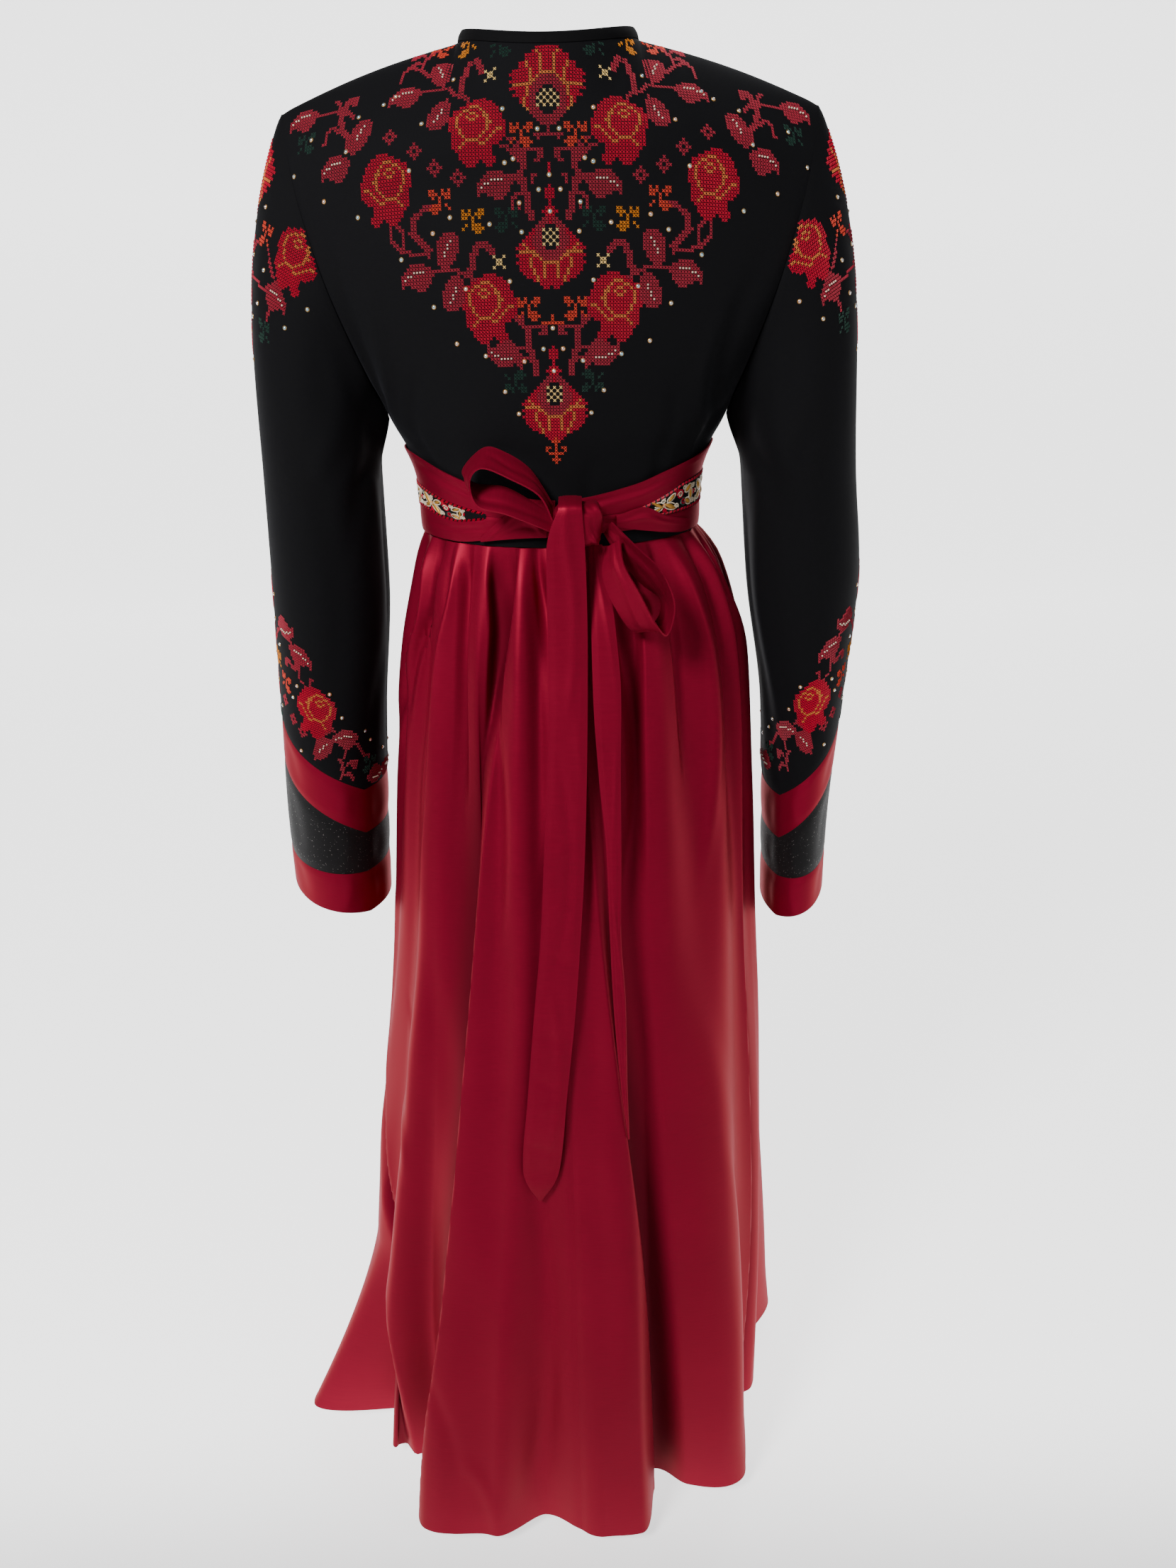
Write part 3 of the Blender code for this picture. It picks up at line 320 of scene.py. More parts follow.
def torso_height(bearing, z):
    """The height, in levels, at which the closed bodice passes through z."""
    low, high = np.zeros_like(z), np.full_like(z, float(UNDERARM))
    for _ in range(HEIGHT_HALVINGS):
        middle = 0.5 * (low + high)
        below = torso_point(bearing, middle)[..., 2] < z
        low, high = np.where(below, middle, low), np.where(below, high, middle)
    return 0.5 * (low + high)


def armhole_point(side, angle):
    """Point of the armhole: angle 0 at the shoulder point, + to the back, 180 at the underarm."""
    height = SHOULDER - (SHOULDER - UNDERARM) * np.abs(angle) / 180.0
    back = bodice_point(np.full_like(height, side), height, True)
    front = bodice_point(np.full_like(height, side), height, False)
    return np.where((angle >= 0.0)[..., None], back, front)


def ring_point(side, angle, z):
    hand = "right" if side > 0 else "left"
    outer, inner = RING_CURVES["outer_" + hand](z), RING_CURVES["inner_" + hand](z)
    back, front = RING_CURVES["back_y"](z), RING_CURVES["front_y"](z)
    turn = np.radians(angle)
    x = 0.5 * (outer + inner) + 0.5 * (outer - inner) * np.cos(turn)
    return xyz(side * x, 0.5 * (back + front) - 0.5 * (front - back) * np.sin(turn), z)


def sleeve_point(side, angle, down):
    """Point of a sleeve: down runs 0 to 1 over the cap, then on by metres below the first ring."""
    angle, down = np.broadcast_arrays(np.asarray(angle, float), np.asarray(down, float))
    angle = wrapped(angle)
    ring_z = SLEEVE_RINGS[0].z
    tube = ring_point(side, angle, ring_z - np.maximum(down - 1.0, 0.0))
    start = armhole_point(side, angle)
    end = ring_point(side, angle, np.full_like(angle, ring_z))
    length = np.linalg.norm(end - start, axis=-1, keepdims=True)
    out, fall = (LEAVE_CURVES[column](np.abs(angle)) for column in ("out", "down"))
    leave = unit(xyz(side * out, 0.0, -fall)) * length
    arrive = unit(ring_point(side, angle, np.full_like(angle, ring_z - STEP)) - end) * length
    share = np.clip(down, 0.0, 1.0)[..., None]
    cap = cubic(start, end, leave, arrive, share)
    return np.where((down >= 1.0)[..., None], tube, cap)


def chevron_z(side, name, angle):
    """Height of one of the seams at the sleeve's end."""
    climb = np.maximum(0.0, 1.0 - np.abs(wrapped(angle)) / CHEVRON_REACH)
    drop = RIGHT_SLEEVE_DROP if side > 0 else 0.0
    return mix(*CHEVRONS[name], climb) - drop


def gather_wave(bearing):
    turn = np.radians(bearing)
    sway = sum(reach * np.sin(times * turn + start) for times, start, reach in GATHER_SWAY)
    return np.cos(GATHERS * turn + sway)


def fold_reach(bearing, z):
    """How far the large folds carry the skirt out at a bearing and height."""
    down = (WAIST_Z - z) / (WAIST_Z - HEM_Z)
    rows = []
    for fold in SKIRT_FOLDS:
        grown = np.clip((fold.start - z) / (fold.start - HEM_Z), 0.0, 1.0)
        rows.append((fold.bearing + fold.drift * (1.0 - down), fold.reach * grown ** FOLD_GROWTH))
    rows = [(rows[-1][0] - 360.0, rows[-1][1])] + rows + [(rows[0][0] + 360.0, rows[0][1])]
    bearing = (bearing - rows[0][0]) % 360.0 + rows[0][0]
    reach = rows[-1][1] + 0.0 * bearing
    for (low, low_reach), (high, high_reach) in reversed(list(zip(rows, rows[1:]))):
        share = 0.5 - 0.5 * np.cos(math.pi * np.clip((bearing - low) / (high - low), 0.0, 1.0))
        reach = np.where(bearing <= high, mix(low_reach, high_reach, share), reach)
    return reach


def skirt_at(bearing, z):
    """Point of the skirt's outer face at a bearing and a height."""
    bearing, z = np.broadcast_arrays(np.asarray(bearing, float), np.asarray(z, float))
    turn = np.radians(bearing)
    side = np.where(np.sin(turn) >= 0.0, SKIRT_CURVES["right"](z), SKIRT_CURVES["left"](z))
    depth = np.where(np.cos(turn) >= 0.0, SKIRT_CURVES["back"](z), SKIRT_CURVES["front"](z))
    reach = fold_reach(bearing, z) + GATHER_CURVE(z) * gather_wave(bearing)
    return xyz((side + reach) * np.sin(turn), -(depth + reach) * np.cos(turn), z)


def skirt_point(bearing, share):
    """Point of the skirt: share runs from 0 at the waist seam to 1 at the hem."""
    bearing, share = np.broadcast_arrays(np.asarray(bearing, float), np.asarray(share, float))
    hem = HEM_Z + HEM_LIFT * fold_reach(bearing, np.full_like(bearing, HEM_Z))
    return skirt_at(bearing, mix(WAIST_Z - SEAM_GAP, hem, share))


def belt_point(bearing, z, lift):
    """Point lying on the bodice at a bearing and height, moved out by lift."""
    height = torso_height(bearing, z)
    point = torso_point(bearing, height)
    probe = np.maximum(height, STEP)
    along = torso_point(bearing + STEP, probe) - torso_point(bearing - STEP, probe)
    down = torso_point(bearing, probe + STEP) - torso_point(bearing, probe - STEP)
    normal = unit(np.cross(along, down))
    inward = np.sum(normal * point * (1.0, 1.0, 0.0), axis=-1, keepdims=True) < 0.0
    return point + np.where(inward, -normal, normal) * lift


def rest_y(left, right, low, high):
    """The furthest out that the skirt's back comes between two edges and two heights."""
    across, down = TIE_SAMPLES
    bearings = np.linspace(-TIE_SWEEP, TIE_SWEEP, across)
    points = skirt_at(*np.meshgrid(bearings, np.linspace(low, min(high, WAIST_Z), down)))
    inside = (points[..., 0] >= left) & (points[..., 0] <= right)
    return min(points[..., 1][inside], default=0.0)


RING_CURVES = column_curves(SLEEVE_RINGS, -1.0)
LEAVE_CURVES = column_curves(SLEEVE_LEAVES)
SKIRT_CURVES = column_curves(SKIRT_LEVELS, -1.0)
GATHER_CURVE = column_curves(GATHER_DEPTHS, -1.0)["gather"]
BELT_CURVES = column_curves(BELT_EDGES)


# ---------------------------------------------------------------------------- cloth in numbers
CREASE = "u0 v0 u1 v1 width depth"
CREASE_BOW = 0.06           # how far a crease bends to one side, as a share of its length
CREASE_START, CREASE_END = (-0.10, 0.22), (0.62, 1.12)      # where it swells and dies away


def crease_lift(rows, u, v, u_size, v_size):
    """How far the listed creases move a surface in or out.  Each runs from (u0, v0) to (u1, v1) and dies
    away at its ends; width is in metres across it, and the sizes turn u and v into metres."""
    lift = np.zeros(np.broadcast(u, v).shape)
    for crease in rows:
        start = np.array((crease.u0 * u_size, crease.v0 * v_size))
        run = np.array((crease.u1 * u_size, crease.v1 * v_size)) - start
        length = float(np.hypot(*run))
        du, dv = u * u_size - start[0], v * v_size - start[1]
        along = (du * run[0] + dv * run[1]) / length ** 2
        bend = CREASE_BOW * length * np.sin(math.pi * np.clip(along, 0.0, 1.0))
        across = (du * run[1] - dv * run[0]) / length - bend
        fade = ease(along, *CREASE_START) * (1.0 - ease(along, *CREASE_END))
        lift = lift + crease.depth * fade * np.exp(-(across / crease.width) ** 2)
    return lift


def slopes_normal(surface, u, v, u_step, v_step, flip):
    """Unit normals of a surface on a grid, from its slopes."""
    along = surface(u + u_step, v) - surface(u - u_step, v)
    down = surface(u, v + v_step) - surface(u, v - v_step)
    normal = unit(np.cross(along, down))
    return -normal if flip else normal


class Cloth:
    """A piece of cloth: its plain surface, which way is out, and the creases laid over it.  Past 1, bunch
    sets its rows closer together near the first end of v."""

    def __init__(self, surface, u_range, v_range, flip=False, lift=None, bunch=1.0):
        self.surface = surface
        self.u_range = u_range
        self.v_range = v_range
        self.flip = flip
        self.lift = lift
        self.bunch = bunch

    def frame_at(self, u, v):
        """Points and normals with the creases in."""
        u, v = np.broadcast_arrays(np.asarray(u, float), np.asarray(v, float))
        u_step = STEP * (self.u_range[1] - self.u_range[0])
        v_step = STEP * (self.v_range[1] - self.v_range[0])
        inset_u = np.clip(u, min(self.u_range) + abs(u_step), max(self.u_range) - abs(u_step))
        inset_v = np.clip(v, min(self.v_range) + abs(v_step), max(self.v_range) - abs(v_step))
        normal = slopes_normal(self.surface, inset_u, inset_v, u_step, v_step, self.flip)
        point = self.surface(u, v)
        if self.lift is not None:
            point = point + normal * self.lift(u, v)[..., None]
        return point, normal

    def grid(self, columns, rows):
        u = np.linspace(*self.u_range, columns)
        v = mix(*self.v_range, np.linspace(0.0, 1.0, rows) ** self.bunch)
        return self.frame_at(u[None, :], v[:, None])


def flat_pattern(points):
    """Lays a curved grid of points out flat with every edge kept as near its length as it goes."""
    rows, columns = points.shape[:2]
    middle = columns // 2
    across = np.linalg.norm(np.diff(points, axis=1), axis=-1)
    down = np.linalg.norm(np.diff(points, axis=0), axis=-1)
    s = np.concatenate((np.zeros((rows, 1)), np.cumsum(across, axis=1)), axis=1)
    t = np.concatenate((np.zeros((1, columns)), np.cumsum(down, axis=0)), axis=0)
    t = t - t[-1] + t[-1, middle]
    flat = np.stack((s - s[:, middle:middle + 1], t), -1)
    pairs = []
    for dr, dc in ((0, 1), (1, 0), (1, 1), (1, -1)):
        a = (slice(0, rows - dr), slice(max(0, -dc), columns - max(0, dc)))
        b = (slice(dr, rows), slice(max(0, dc), columns - max(0, -dc)))
        pairs.append((a, b, np.linalg.norm(points[a] - points[b], axis=-1)))
    for _ in range(FLAT_ROUNDS):
        push = np.zeros_like(flat)
        count = np.zeros(flat.shape[:2])
        for a, b, rest in pairs:
            run = flat[b] - flat[a]
            length = np.maximum(np.linalg.norm(run, axis=-1), TINY)
            fix = run * ((length - rest) / length * 0.5)[..., None]
            push[a] += fix
            push[b] -= fix
            count[a] += 1
            count[b] += 1
        flat += push / count[..., None] * FLAT_PUSH
    flat = flat - flat[0, middle]
    foot = flat[-1, middle]
    turn = math.atan2(foot[0], foot[1])
    return turned_by(flat, math.degrees(turn))


class Pattern:
    """A cloth's flat pattern piece, from which a point of the pattern is found on the cloth."""

    def __init__(self, cloth, columns, rows):
        self.cloth = cloth
        self.u = np.linspace(*cloth.u_range, columns)
        self.v = np.linspace(*cloth.v_range, rows)
        points = cloth.surface(self.u[None, :], self.v[:, None])
        self.flat = flat_pattern(points)
        corners = [(r * columns + c, r * columns + c + 1, (r + 1) * columns + c + 1, (r + 1) * columns + c)
                   for r in range(rows - 1) for c in range(columns - 1)]
        self.faces = [face for a, b, c, d in corners for face in ((a, b, c), (a, c, d))]
        self.places = [Vector((s, t, 0.0)) for s, t in self.flat.reshape(-1, 2)]
        self.tree = BVHTree.FromPolygons(self.places, self.faces)
        self.params = np.stack(np.meshgrid(self.u, self.v), -1).reshape(-1, 2)

    def find(self, s, t):
        """u and v of the points (s, t) of the pattern, and whether each lies on it."""
        found = np.zeros((len(s), 2))
        inside = np.zeros(len(s), bool)
        for n, (a, b) in enumerate(zip(s, t)):
            place, _, face, distance = self.tree.find_nearest((a, b, 0.0))
            i, j, k = self.faces[face]
            p, q, r = (self.places[m] for m in (i, j, k))
            area = (q - p).cross(r - p).z
            share_q = (place - p).cross(r - p).z / area
            share_r = (q - p).cross(place - p).z / area
            found[n] = (self.params[i] * (1.0 - share_q - share_r) + self.params[j] * share_q
                        + self.params[k] * share_r)
            inside[n] = distance < PATTERN_MISS
        return found[:, 0], found[:, 1], inside

    def frames(self, s, t, lift):
        """Points lifted off the cloth, with unit vectors across and down the cloth and out of it."""
        u, v, inside = self.find(s, t)
        u_across, v_across, _ = self.find(s + PATTERN_STEP, t)
        u_down, v_down, _ = self.find(s, t + PATTERN_STEP)
        point, normal = self.cloth.frame_at(u, v)
        across = unit(self.cloth.frame_at(u_across, v_across)[0] - point)
        down = unit(self.cloth.frame_at(u_down, v_down)[0] - point)
        across = unit(across - normal * np.sum(across * normal, -1, keepdims=True))
        down = unit(down - normal * np.sum(down * normal, -1, keepdims=True))
        return (point + normal * lift)[inside], across[inside], down[inside], normal[inside], inside


FLAT_ROUNDS = 500
FLAT_PUSH = 1.6             # how strongly each round sets the lengths right
PATTERN_MISS = 0.0002       # how far off the pattern a point may lie and still be on it
PATTERN_STEP = 0.0015


# ---------------------------------------------------------------------------- meshes
SHARP_ANGLE = math.radians(60)      # a corner sharper than this is drawn as an edge


def new_object(name, vertices, faces, materials, slots=None):
    """A mesh object from arrays; slots gives each face's material."""
    mesh = bpy.data.meshes.new(name)
    mesh.from_pydata(np.asarray(vertices).reshape(-1, 3).tolist(), [], faces)
    for material in materials:
        mesh.materials.append(material)
    if slots is not None:
        mesh.polygons.foreach_set("material_index", np.asarray(slots, np.int32))
    mesh.shade_smooth()
    mesh.set_sharp_from_angle(angle=SHARP_ANGLE)
    mesh.update()
    thing = bpy.data.objects.new(name, mesh)
    bpy.context.scene.collection.objects.link(thing)
    return thing


def grid_faces(rows, columns, start=0, closed=False, flip=False):
    """Quads of a grid of points; closed joins its last column to its first."""
    faces = []
    for r in range(rows - 1):
        for c in range(columns if closed else columns - 1):
            n = (c + 1) % columns
            face = (start + r * columns + c, start + r * columns + n,
                    start + (r + 1) * columns + n, start + (r + 1) * columns + c)
            faces.append(face[::-1] if flip else face)
    return faces


def wall_mesh(outer, inner, closed, flip):
    """Vertices and faces of a closed wall between two grids of points."""
    rows, columns = outer.shape[:2]
    size = rows * columns
    vertices = np.concatenate((outer.reshape(-1, 3), inner.reshape(-1, 3)))
    faces = grid_faces(rows, columns, 0, closed, flip) + grid_faces(rows, columns, size, closed, not flip)
    rim = []
    for c in range(columns if closed else columns - 1):
        n = (c + 1) % columns
        rim.append((c, size + c, size + n, n))
        last = (rows - 1) * columns
        rim.append((last + n, size + last + n, size + last + c, last + c))
    if not closed:
        for r in range(rows - 1):
            a, b = r * columns, (r + 1) * columns
            rim.append((b, size + b, size + a, a))
            a, b = a + columns - 1, b + columns - 1
            rim.append((a, size + a, size + b, b))
    return vertices, faces + [face[::-1] if flip else face for face in rim]


def cloth_uv(thing, outer):
    """Writes each face corner's place on the cloth, in metres across and down, to a UV map."""
    across = np.linalg.norm(np.diff(outer, axis=1), axis=-1).mean(axis=0)
    down = np.linalg.norm(np.diff(outer, axis=0), axis=-1).mean(axis=1)
    s = np.concatenate(([0.0], np.cumsum(across)))
    t = np.concatenate(([0.0], np.cumsum(down)))
    place = np.stack(np.meshgrid(s, t), -1).reshape(-1, 2)
    place = np.concatenate((place, place))
    layer = thing.data.uv_layers.new(name=CLOTH_MAP)
    loops = np.empty(len(thing.data.loops), np.int32)
    thing.data.loops.foreach_get("vertex_index", loops)
    layer.uv.foreach_set("vector", place[loops].astype(np.float32).ravel())


def grid_size(outer):
    """Width, length and area of a grid of cloth when it is laid flat."""
    across = np.linalg.norm(np.diff(outer, axis=1), axis=-1)
    down = np.linalg.norm(np.diff(outer, axis=0), axis=-1)
    a, b, c, d = outer[:-1, :-1], outer[:-1, 1:], outer[1:, 1:], outer[1:, :-1]
    halves = np.linalg.norm(np.cross(b - a, c - a), axis=-1) + np.linalg.norm(np.cross(c - a, d - a), axis=-1)
    return float(across.sum(1).max()), float(down.sum(0).max()), float(halves.sum() * 0.5)


def settle(thing, nodes, size):
    """Rides a piece of cloth on the dress and hides the parts that it replaces; the size it was cut to is
    reckoned, then not kept.
    """
    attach(thing, "root")
    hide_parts(*nodes)
    width, length, area = size
    width, length = (max(round(part, 3), NARROWEST) for part in (width, length))
    area = min(round(area, 4), width * length)
    return thing


def make_cloth(node, cloth, columns, rows, material, thickness, closed=False):
    """A shell of cloth in a node's place."""
    outer, normal = cloth.grid(columns, rows)
    size = grid_size(outer)
    if closed:
        outer, normal = outer[:, :-1], normal[:, :-1]
    vertices, faces = wall_mesh(outer, outer - normal * thickness, closed, not cloth.flip)
    thing = new_object(node + "_cloth", vertices, faces, [material])
    cloth_uv(thing, outer)
    return settle(thing, [node], size)


CLOTH_MAP = "cloth"
# the attribute that holds how much painted shade each point of a skirt panel gets
FOLD_SHADE_MAP = "fold"
NARROWEST = 0.010           # the narrowest strip of cloth that is cut


# ---------------------------------------------------------------------------- shader maths
class Flow:
    """A shader socket that can be reckoned with: + - and * add Math nodes."""

    def __init__(self, tree, socket):
        self.tree = tree
        self.socket = socket

    def math(self, operation, *values):
        return node(self.tree, "ShaderNodeMath", {"operation": operation}, dict(enumerate(values)))

    def __add__(self, other):
        return self.math("ADD", self, other)

    __radd__ = __add__

    def __sub__(self, other):
        return self.math("SUBTRACT", self, other)

    def __rsub__(self, other):
        return self.math("SUBTRACT", other, self)

    def __mul__(self, other):
        return self.math("MULTIPLY", self, other)

    __rmul__ = __mul__


def node(tree, kind, settings=None, values=None, output=0):
    """Any shader node: its settings first, then the values or links of its sockets."""
    made = tree.nodes.new(kind)
    for key, value in (settings or {}).items():
        if key == "stops":
            for n, (place, colour) in enumerate(value):
                stop = made.color_ramp.elements[n] if n < 2 else made.color_ramp.elements.new(place)
                stop.position = place
                stop.color = (*colour, 1.0)
        else:
            setattr(made, key, value)
    for key, value in (values or {}).items():
        if isinstance(value, Flow):
            tree.links.new(value.socket, made.inputs[key])
        else:
            made.inputs[key].default_value = value
    return Flow(tree, made.outputs[output])


class Finish:
    """One material: a Principled shader and the nodes that feed it."""

    def __init__(self, name, **constants):
        self.material = bpy.data.materials.new(name)
        self.material.use_nodes = True
        self.tree = self.material.node_tree
        self.shader = self.tree.nodes["Principled BSDF"]
        for key, value in constants.items():
            self.shader.inputs[key.replace("_", " ").title().replace("Ior", "IOR")].default_value = value

    def add(self, kind, settings=None, values=None, output=0):
        return node(self.tree, kind, settings, values, output)

    def feed(self, socket, flow):
        self.tree.links.new(flow.socket, self.shader.inputs[socket])

    def cloth_place(self):
        """Where a point lies on the cloth, in metres across and down."""
        return self.add("ShaderNodeUVMap", {"uv_map": CLOTH_MAP})

    def object_place(self):
        return self.add("ShaderNodeTexCoord", output=3)

    def noise(self, place, scale, detail=2.0, roughness=0.5):
        return self.add("ShaderNodeTexNoise", values={"Vector": place, "Scale": scale, "Detail": detail,
                                                      "Roughness": roughness})

    def wave(self, place, scale, direction, distortion=0.0):
        return self.add("ShaderNodeTexWave", {"bands_direction": direction},
                        {"Vector": place, "Scale": scale, "Distortion": distortion}, output=1)

    def blend(self, share, dark, light):
        dark, light = (end if isinstance(end, Flow) else (*end, 1.0) for end in (dark, light))
        values = {"Factor": share, 6: dark, 7: light}       # 6 and 7 are its sockets for colours
        return self.add("ShaderNodeMix", {"data_type": "RGBA"}, values, output=2)

    def tones(self, share, colour, dark, light):
        """From a darker to a lighter tone of one colour."""
        return self.blend(share, shade(colour, dark), shade(colour, light))

    def ramp(self, value, low, high):
        """0 where value is below low, 1 above high."""
        return self.add("ShaderNodeMapRange", {"interpolation_type": "SMOOTHSTEP"},
                        {"Value": value, "From Min": low, "From Max": high})

    def bump(self, height, distance, strength=1.0):
        self.feed("Normal", self.add("ShaderNodeBump", values={"Strength": strength, "Distance": distance,
                                                               "Height": height}))


def shade(colour, share):
    """A colour made darker, or lighter past 1."""
    return tuple(min(1.0, part * share) for part in colour[:3])


# ---------------------------------------------------------------------------- finishes
def crepe_finish(name, colour, sheen):
    """Dull black crepe: a pebbled grain over a fine weave, a little worn where it lies loose."""
    finish = Finish(name, specular_ior_level=0.10, sheen_weight=sheen, sheen_roughness=0.5)
    finish.shader.inputs["Sheen Tint"].default_value = (0.20, 0.21, 0.26, 1.0)
    place = finish.cloth_place()
    pebble = finish.noise(place, 1500.0, 3.0, 0.65)
    warp = finish.wave(place, 420.0, "X", 0.8)
    weft = finish.wave(place, 420.0, "Y", 0.8)
    wear = finish.noise(place, 9.0, 3.0)
    grain = pebble * 0.7 + warp * 0.18 + weft * 0.18
    finish.feed("Base Color", finish.tones(grain * 0.6 + wear * 0.5, colour, 0.55, 1.5))
    finish.feed("Roughness", 0.74 + wear * 0.14 + pebble * 0.06)
    finish.bump(grain, 0.00022, 0.55)
    return finish.material


def satin_finish(name, colour):
    """Crimson satin: its shine takes the colour of the dyed floats that lie across the cloth, and painted
    shade darkens its colour in the troughs of the skirt's pleats.
    """
    finish = Finish(name, metallic=0.55, specular_ior_level=0.22, sheen_weight=0.03, sheen_roughness=0.4)
    finish.shader.inputs["Sheen Tint"].default_value = (0.90, 0.12, 0.24, 1.0)
    finish.shader.inputs["Specular Tint"].default_value = (0.80, 0.14, 0.24, 1.0)
    place = finish.cloth_place()
    floats = finish.wave(place, 560.0, "DIAGONAL", 1.2)
    slub = finish.add("ShaderNodeVectorMath", {"operation": "MULTIPLY"}, {0: place, 1: (60.0, 700.0, 1.0)})
    thread = finish.noise(slub, 1.0, 2.0)
    cloud = finish.noise(place, 6.0, 3.0)
    dyed = finish.tones(cloud * 0.55 + thread * 0.35, colour, 0.74, 1.30)
    # painted shade: the colour darkens up to three quarters of the way to 0.3 of itself where a pleat's
    # trough lies deep
    fold = finish.add("ShaderNodeAttribute", {"attribute_name": FOLD_SHADE_MAP}, output=2)
    finish.feed("Base Color", finish.blend(fold * 0.75, dyed, shade(colour, 0.30)))
    finish.feed("Roughness", 0.41 + cloud * 0.12 + thread * 0.07)
    finish.bump(floats * 0.35 + thread, 0.00012, 0.45)
    return finish.material


def speckled_finish(name, colour):
    """Fine sheer black with small pale specks woven in."""
    finish = Finish(name, specular_ior_level=0.15, sheen_weight=0.04)
    place = finish.cloth_place()
    spots = finish.add("ShaderNodeTexVoronoi", {"feature": "F1"}, {"Vector": place, "Scale": 620.0})
    chance = finish.noise(place, 380.0, 1.0)
    speck = (1.0 - finish.ramp(spots, 0.10, 0.26)) * finish.ramp(chance, 0.56, 0.62)
    mesh = finish.wave(place, 400.0, "X") * finish.wave(place, 400.0, "Y")
    ground = finish.tones(mesh, colour, 0.6, 1.6)
    finish.feed("Base Color", finish.blend(speck * 0.8, ground, (0.42, 0.38, 0.36)))
    finish.feed("Roughness", 0.62 - speck * 0.3)
    finish.bump(mesh + speck, 0.00015, 0.5)
    return finish.material


def thread_finish(name, colour, shine=0.5):
    """Stranded embroidery thread with a soft lustre."""
    finish = Finish(name, specular_ior_level=0.18, sheen_weight=0.06, sheen_roughness=0.4)
    finish.shader.inputs["Sheen Tint"].default_value = (*shade(colour, 1.6), 1.0)
    place = finish.object_place()
    strand = finish.noise(place, 1900.0, 2.0)
    patch = finish.noise(place, 70.0, 2.0)
    finish.feed("Base Color", finish.tones(strand * 0.5 + patch * 0.5, colour, 0.66, 1.3))
    finish.feed("Roughness", 1.0 - shine + patch * 0.12)
    finish.bump(strand, 0.00012, 0.5)
    return finish.material


def metal_thread_finish(name, colour):
    """Gold cord and sequin work: bright, with a beaten grain."""
    finish = Finish(name, metallic=0.55, specular_ior_level=0.3)
    place = finish.object_place()
    beat = finish.noise(place, 900.0, 2.0)
    tone = finish.noise(place, 160.0, 2.0)
    finish.feed("Base Color", finish.tones(tone, colour, 0.7, 1.25))
    finish.feed("Roughness", 0.34 + beat * 0.22)
    finish.bump(beat, 0.0002, 0.6)
    return finish.material


def bead_finish(name, colour):
    """Small pearly beads."""
    finish = Finish(name, specular_ior_level=0.7, coat_weight=0.6, coat_roughness=0.12)
    tone = finish.noise(finish.object_place(), 240.0, 2.0)
    finish.feed("Base Color", finish.tones(tone, colour, 0.75, 1.2))
    finish.feed("Roughness", 0.22 + tone * 0.2)
    return finish.material


def stone_finish(name):
    """Cut stones with a coating that turns from pink to pale blue."""
    finish = Finish(name, metallic=0.75, coat_weight=1.0, coat_roughness=0.03, specular_ior_level=0.9)
    place = finish.object_place()
    tint = finish.noise(place, 55.0, 1.0)
    flash = finish.noise(place, 900.0, 1.0)
    stops = ((0.30, (0.86, 0.50, 0.44)), (0.46, (0.80, 0.76, 0.70)), (0.62, (0.40, 0.68, 0.84)),
             (0.75, (0.72, 0.80, 0.64)))
    finish.feed("Base Color", finish.add("ShaderNodeValToRGB", {"stops": stops}, {"Fac": tint}))
    finish.feed("Roughness", 0.06 + flash * 0.10)
    return finish.material


# ---------------------------------------------------------------------------- bodice and sleeves
BODICE_SIZE = (0.165, 0.056)        # metres to a unit of share and to a level
BODICE_CREASES = {
    True: table(CREASE,
        (-0.88, 4.7, -0.78, 0.6, 0.011, -0.003), (-0.74, 4.0, -0.66, 0.3, 0.009, 0.0024),
        (-0.56, 3.0, -0.54, 0.1, 0.008, -0.0018), (0.86, 4.5, 0.76, 0.5, 0.011, -0.003),
        (0.7, 3.7, 0.63, 0.2, 0.008, 0.0024), (0.5, 2.9, 0.5, 0.1, 0.007, -0.0018),
        (-0.36, 2.0, -0.33, 0.0, 0.006, 0.0015), (-0.2, 1.6, -0.19, 0.0, 0.005, -0.0013),
        (0.3, 2.1, 0.33, 0.0, 0.006, 0.0016), (0.15, 1.5, 0.17, 0.0, 0.005, -0.0012),
        (-0.95, 2.6, -0.6, 1.5, 0.007, -0.0014), (0.95, 2.5, 0.62, 1.4, 0.007, -0.0014)),
    False: table(CREASE,
        (-0.9, 4.4, -0.7, 0.4, 0.011, -0.0028), (-0.66, 3.4, -0.6, 0.2, 0.009, 0.0022),
        (-0.4, 2.6, -0.4, 0.0, 0.008, -0.0018), (0.88, 4.2, 0.72, 0.5, 0.011, -0.0028),
        (0.62, 3.2, 0.56, 0.1, 0.008, 0.0022), (0.34, 2.4, 0.36, 0.0, 0.007, -0.0017),
        (-0.12, 1.9, -0.12, 0.0, 0.007, 0.0015), (0.1, 1.7, 0.12, 0.0, 0.006, -0.0012)),
}
BELT_HOLD = (1.7, 2.3)      # the belt holds folds flat up to the first level, and not past the second
PRESSED = 0.0003            # and presses the cloth in by this much
SHOULDER_BUNCH = 1.45       # rows lie closer where the cloth bends over the shoulder
SEAM_ROLL = 0.0009          # how far cloth dips at a seam
SEAM_REACH = 0.0045         # and over what distance
SIDE_FADE, ARMHOLE_FADE = 0.02, 0.03        # how far from a seam the creases have their full height

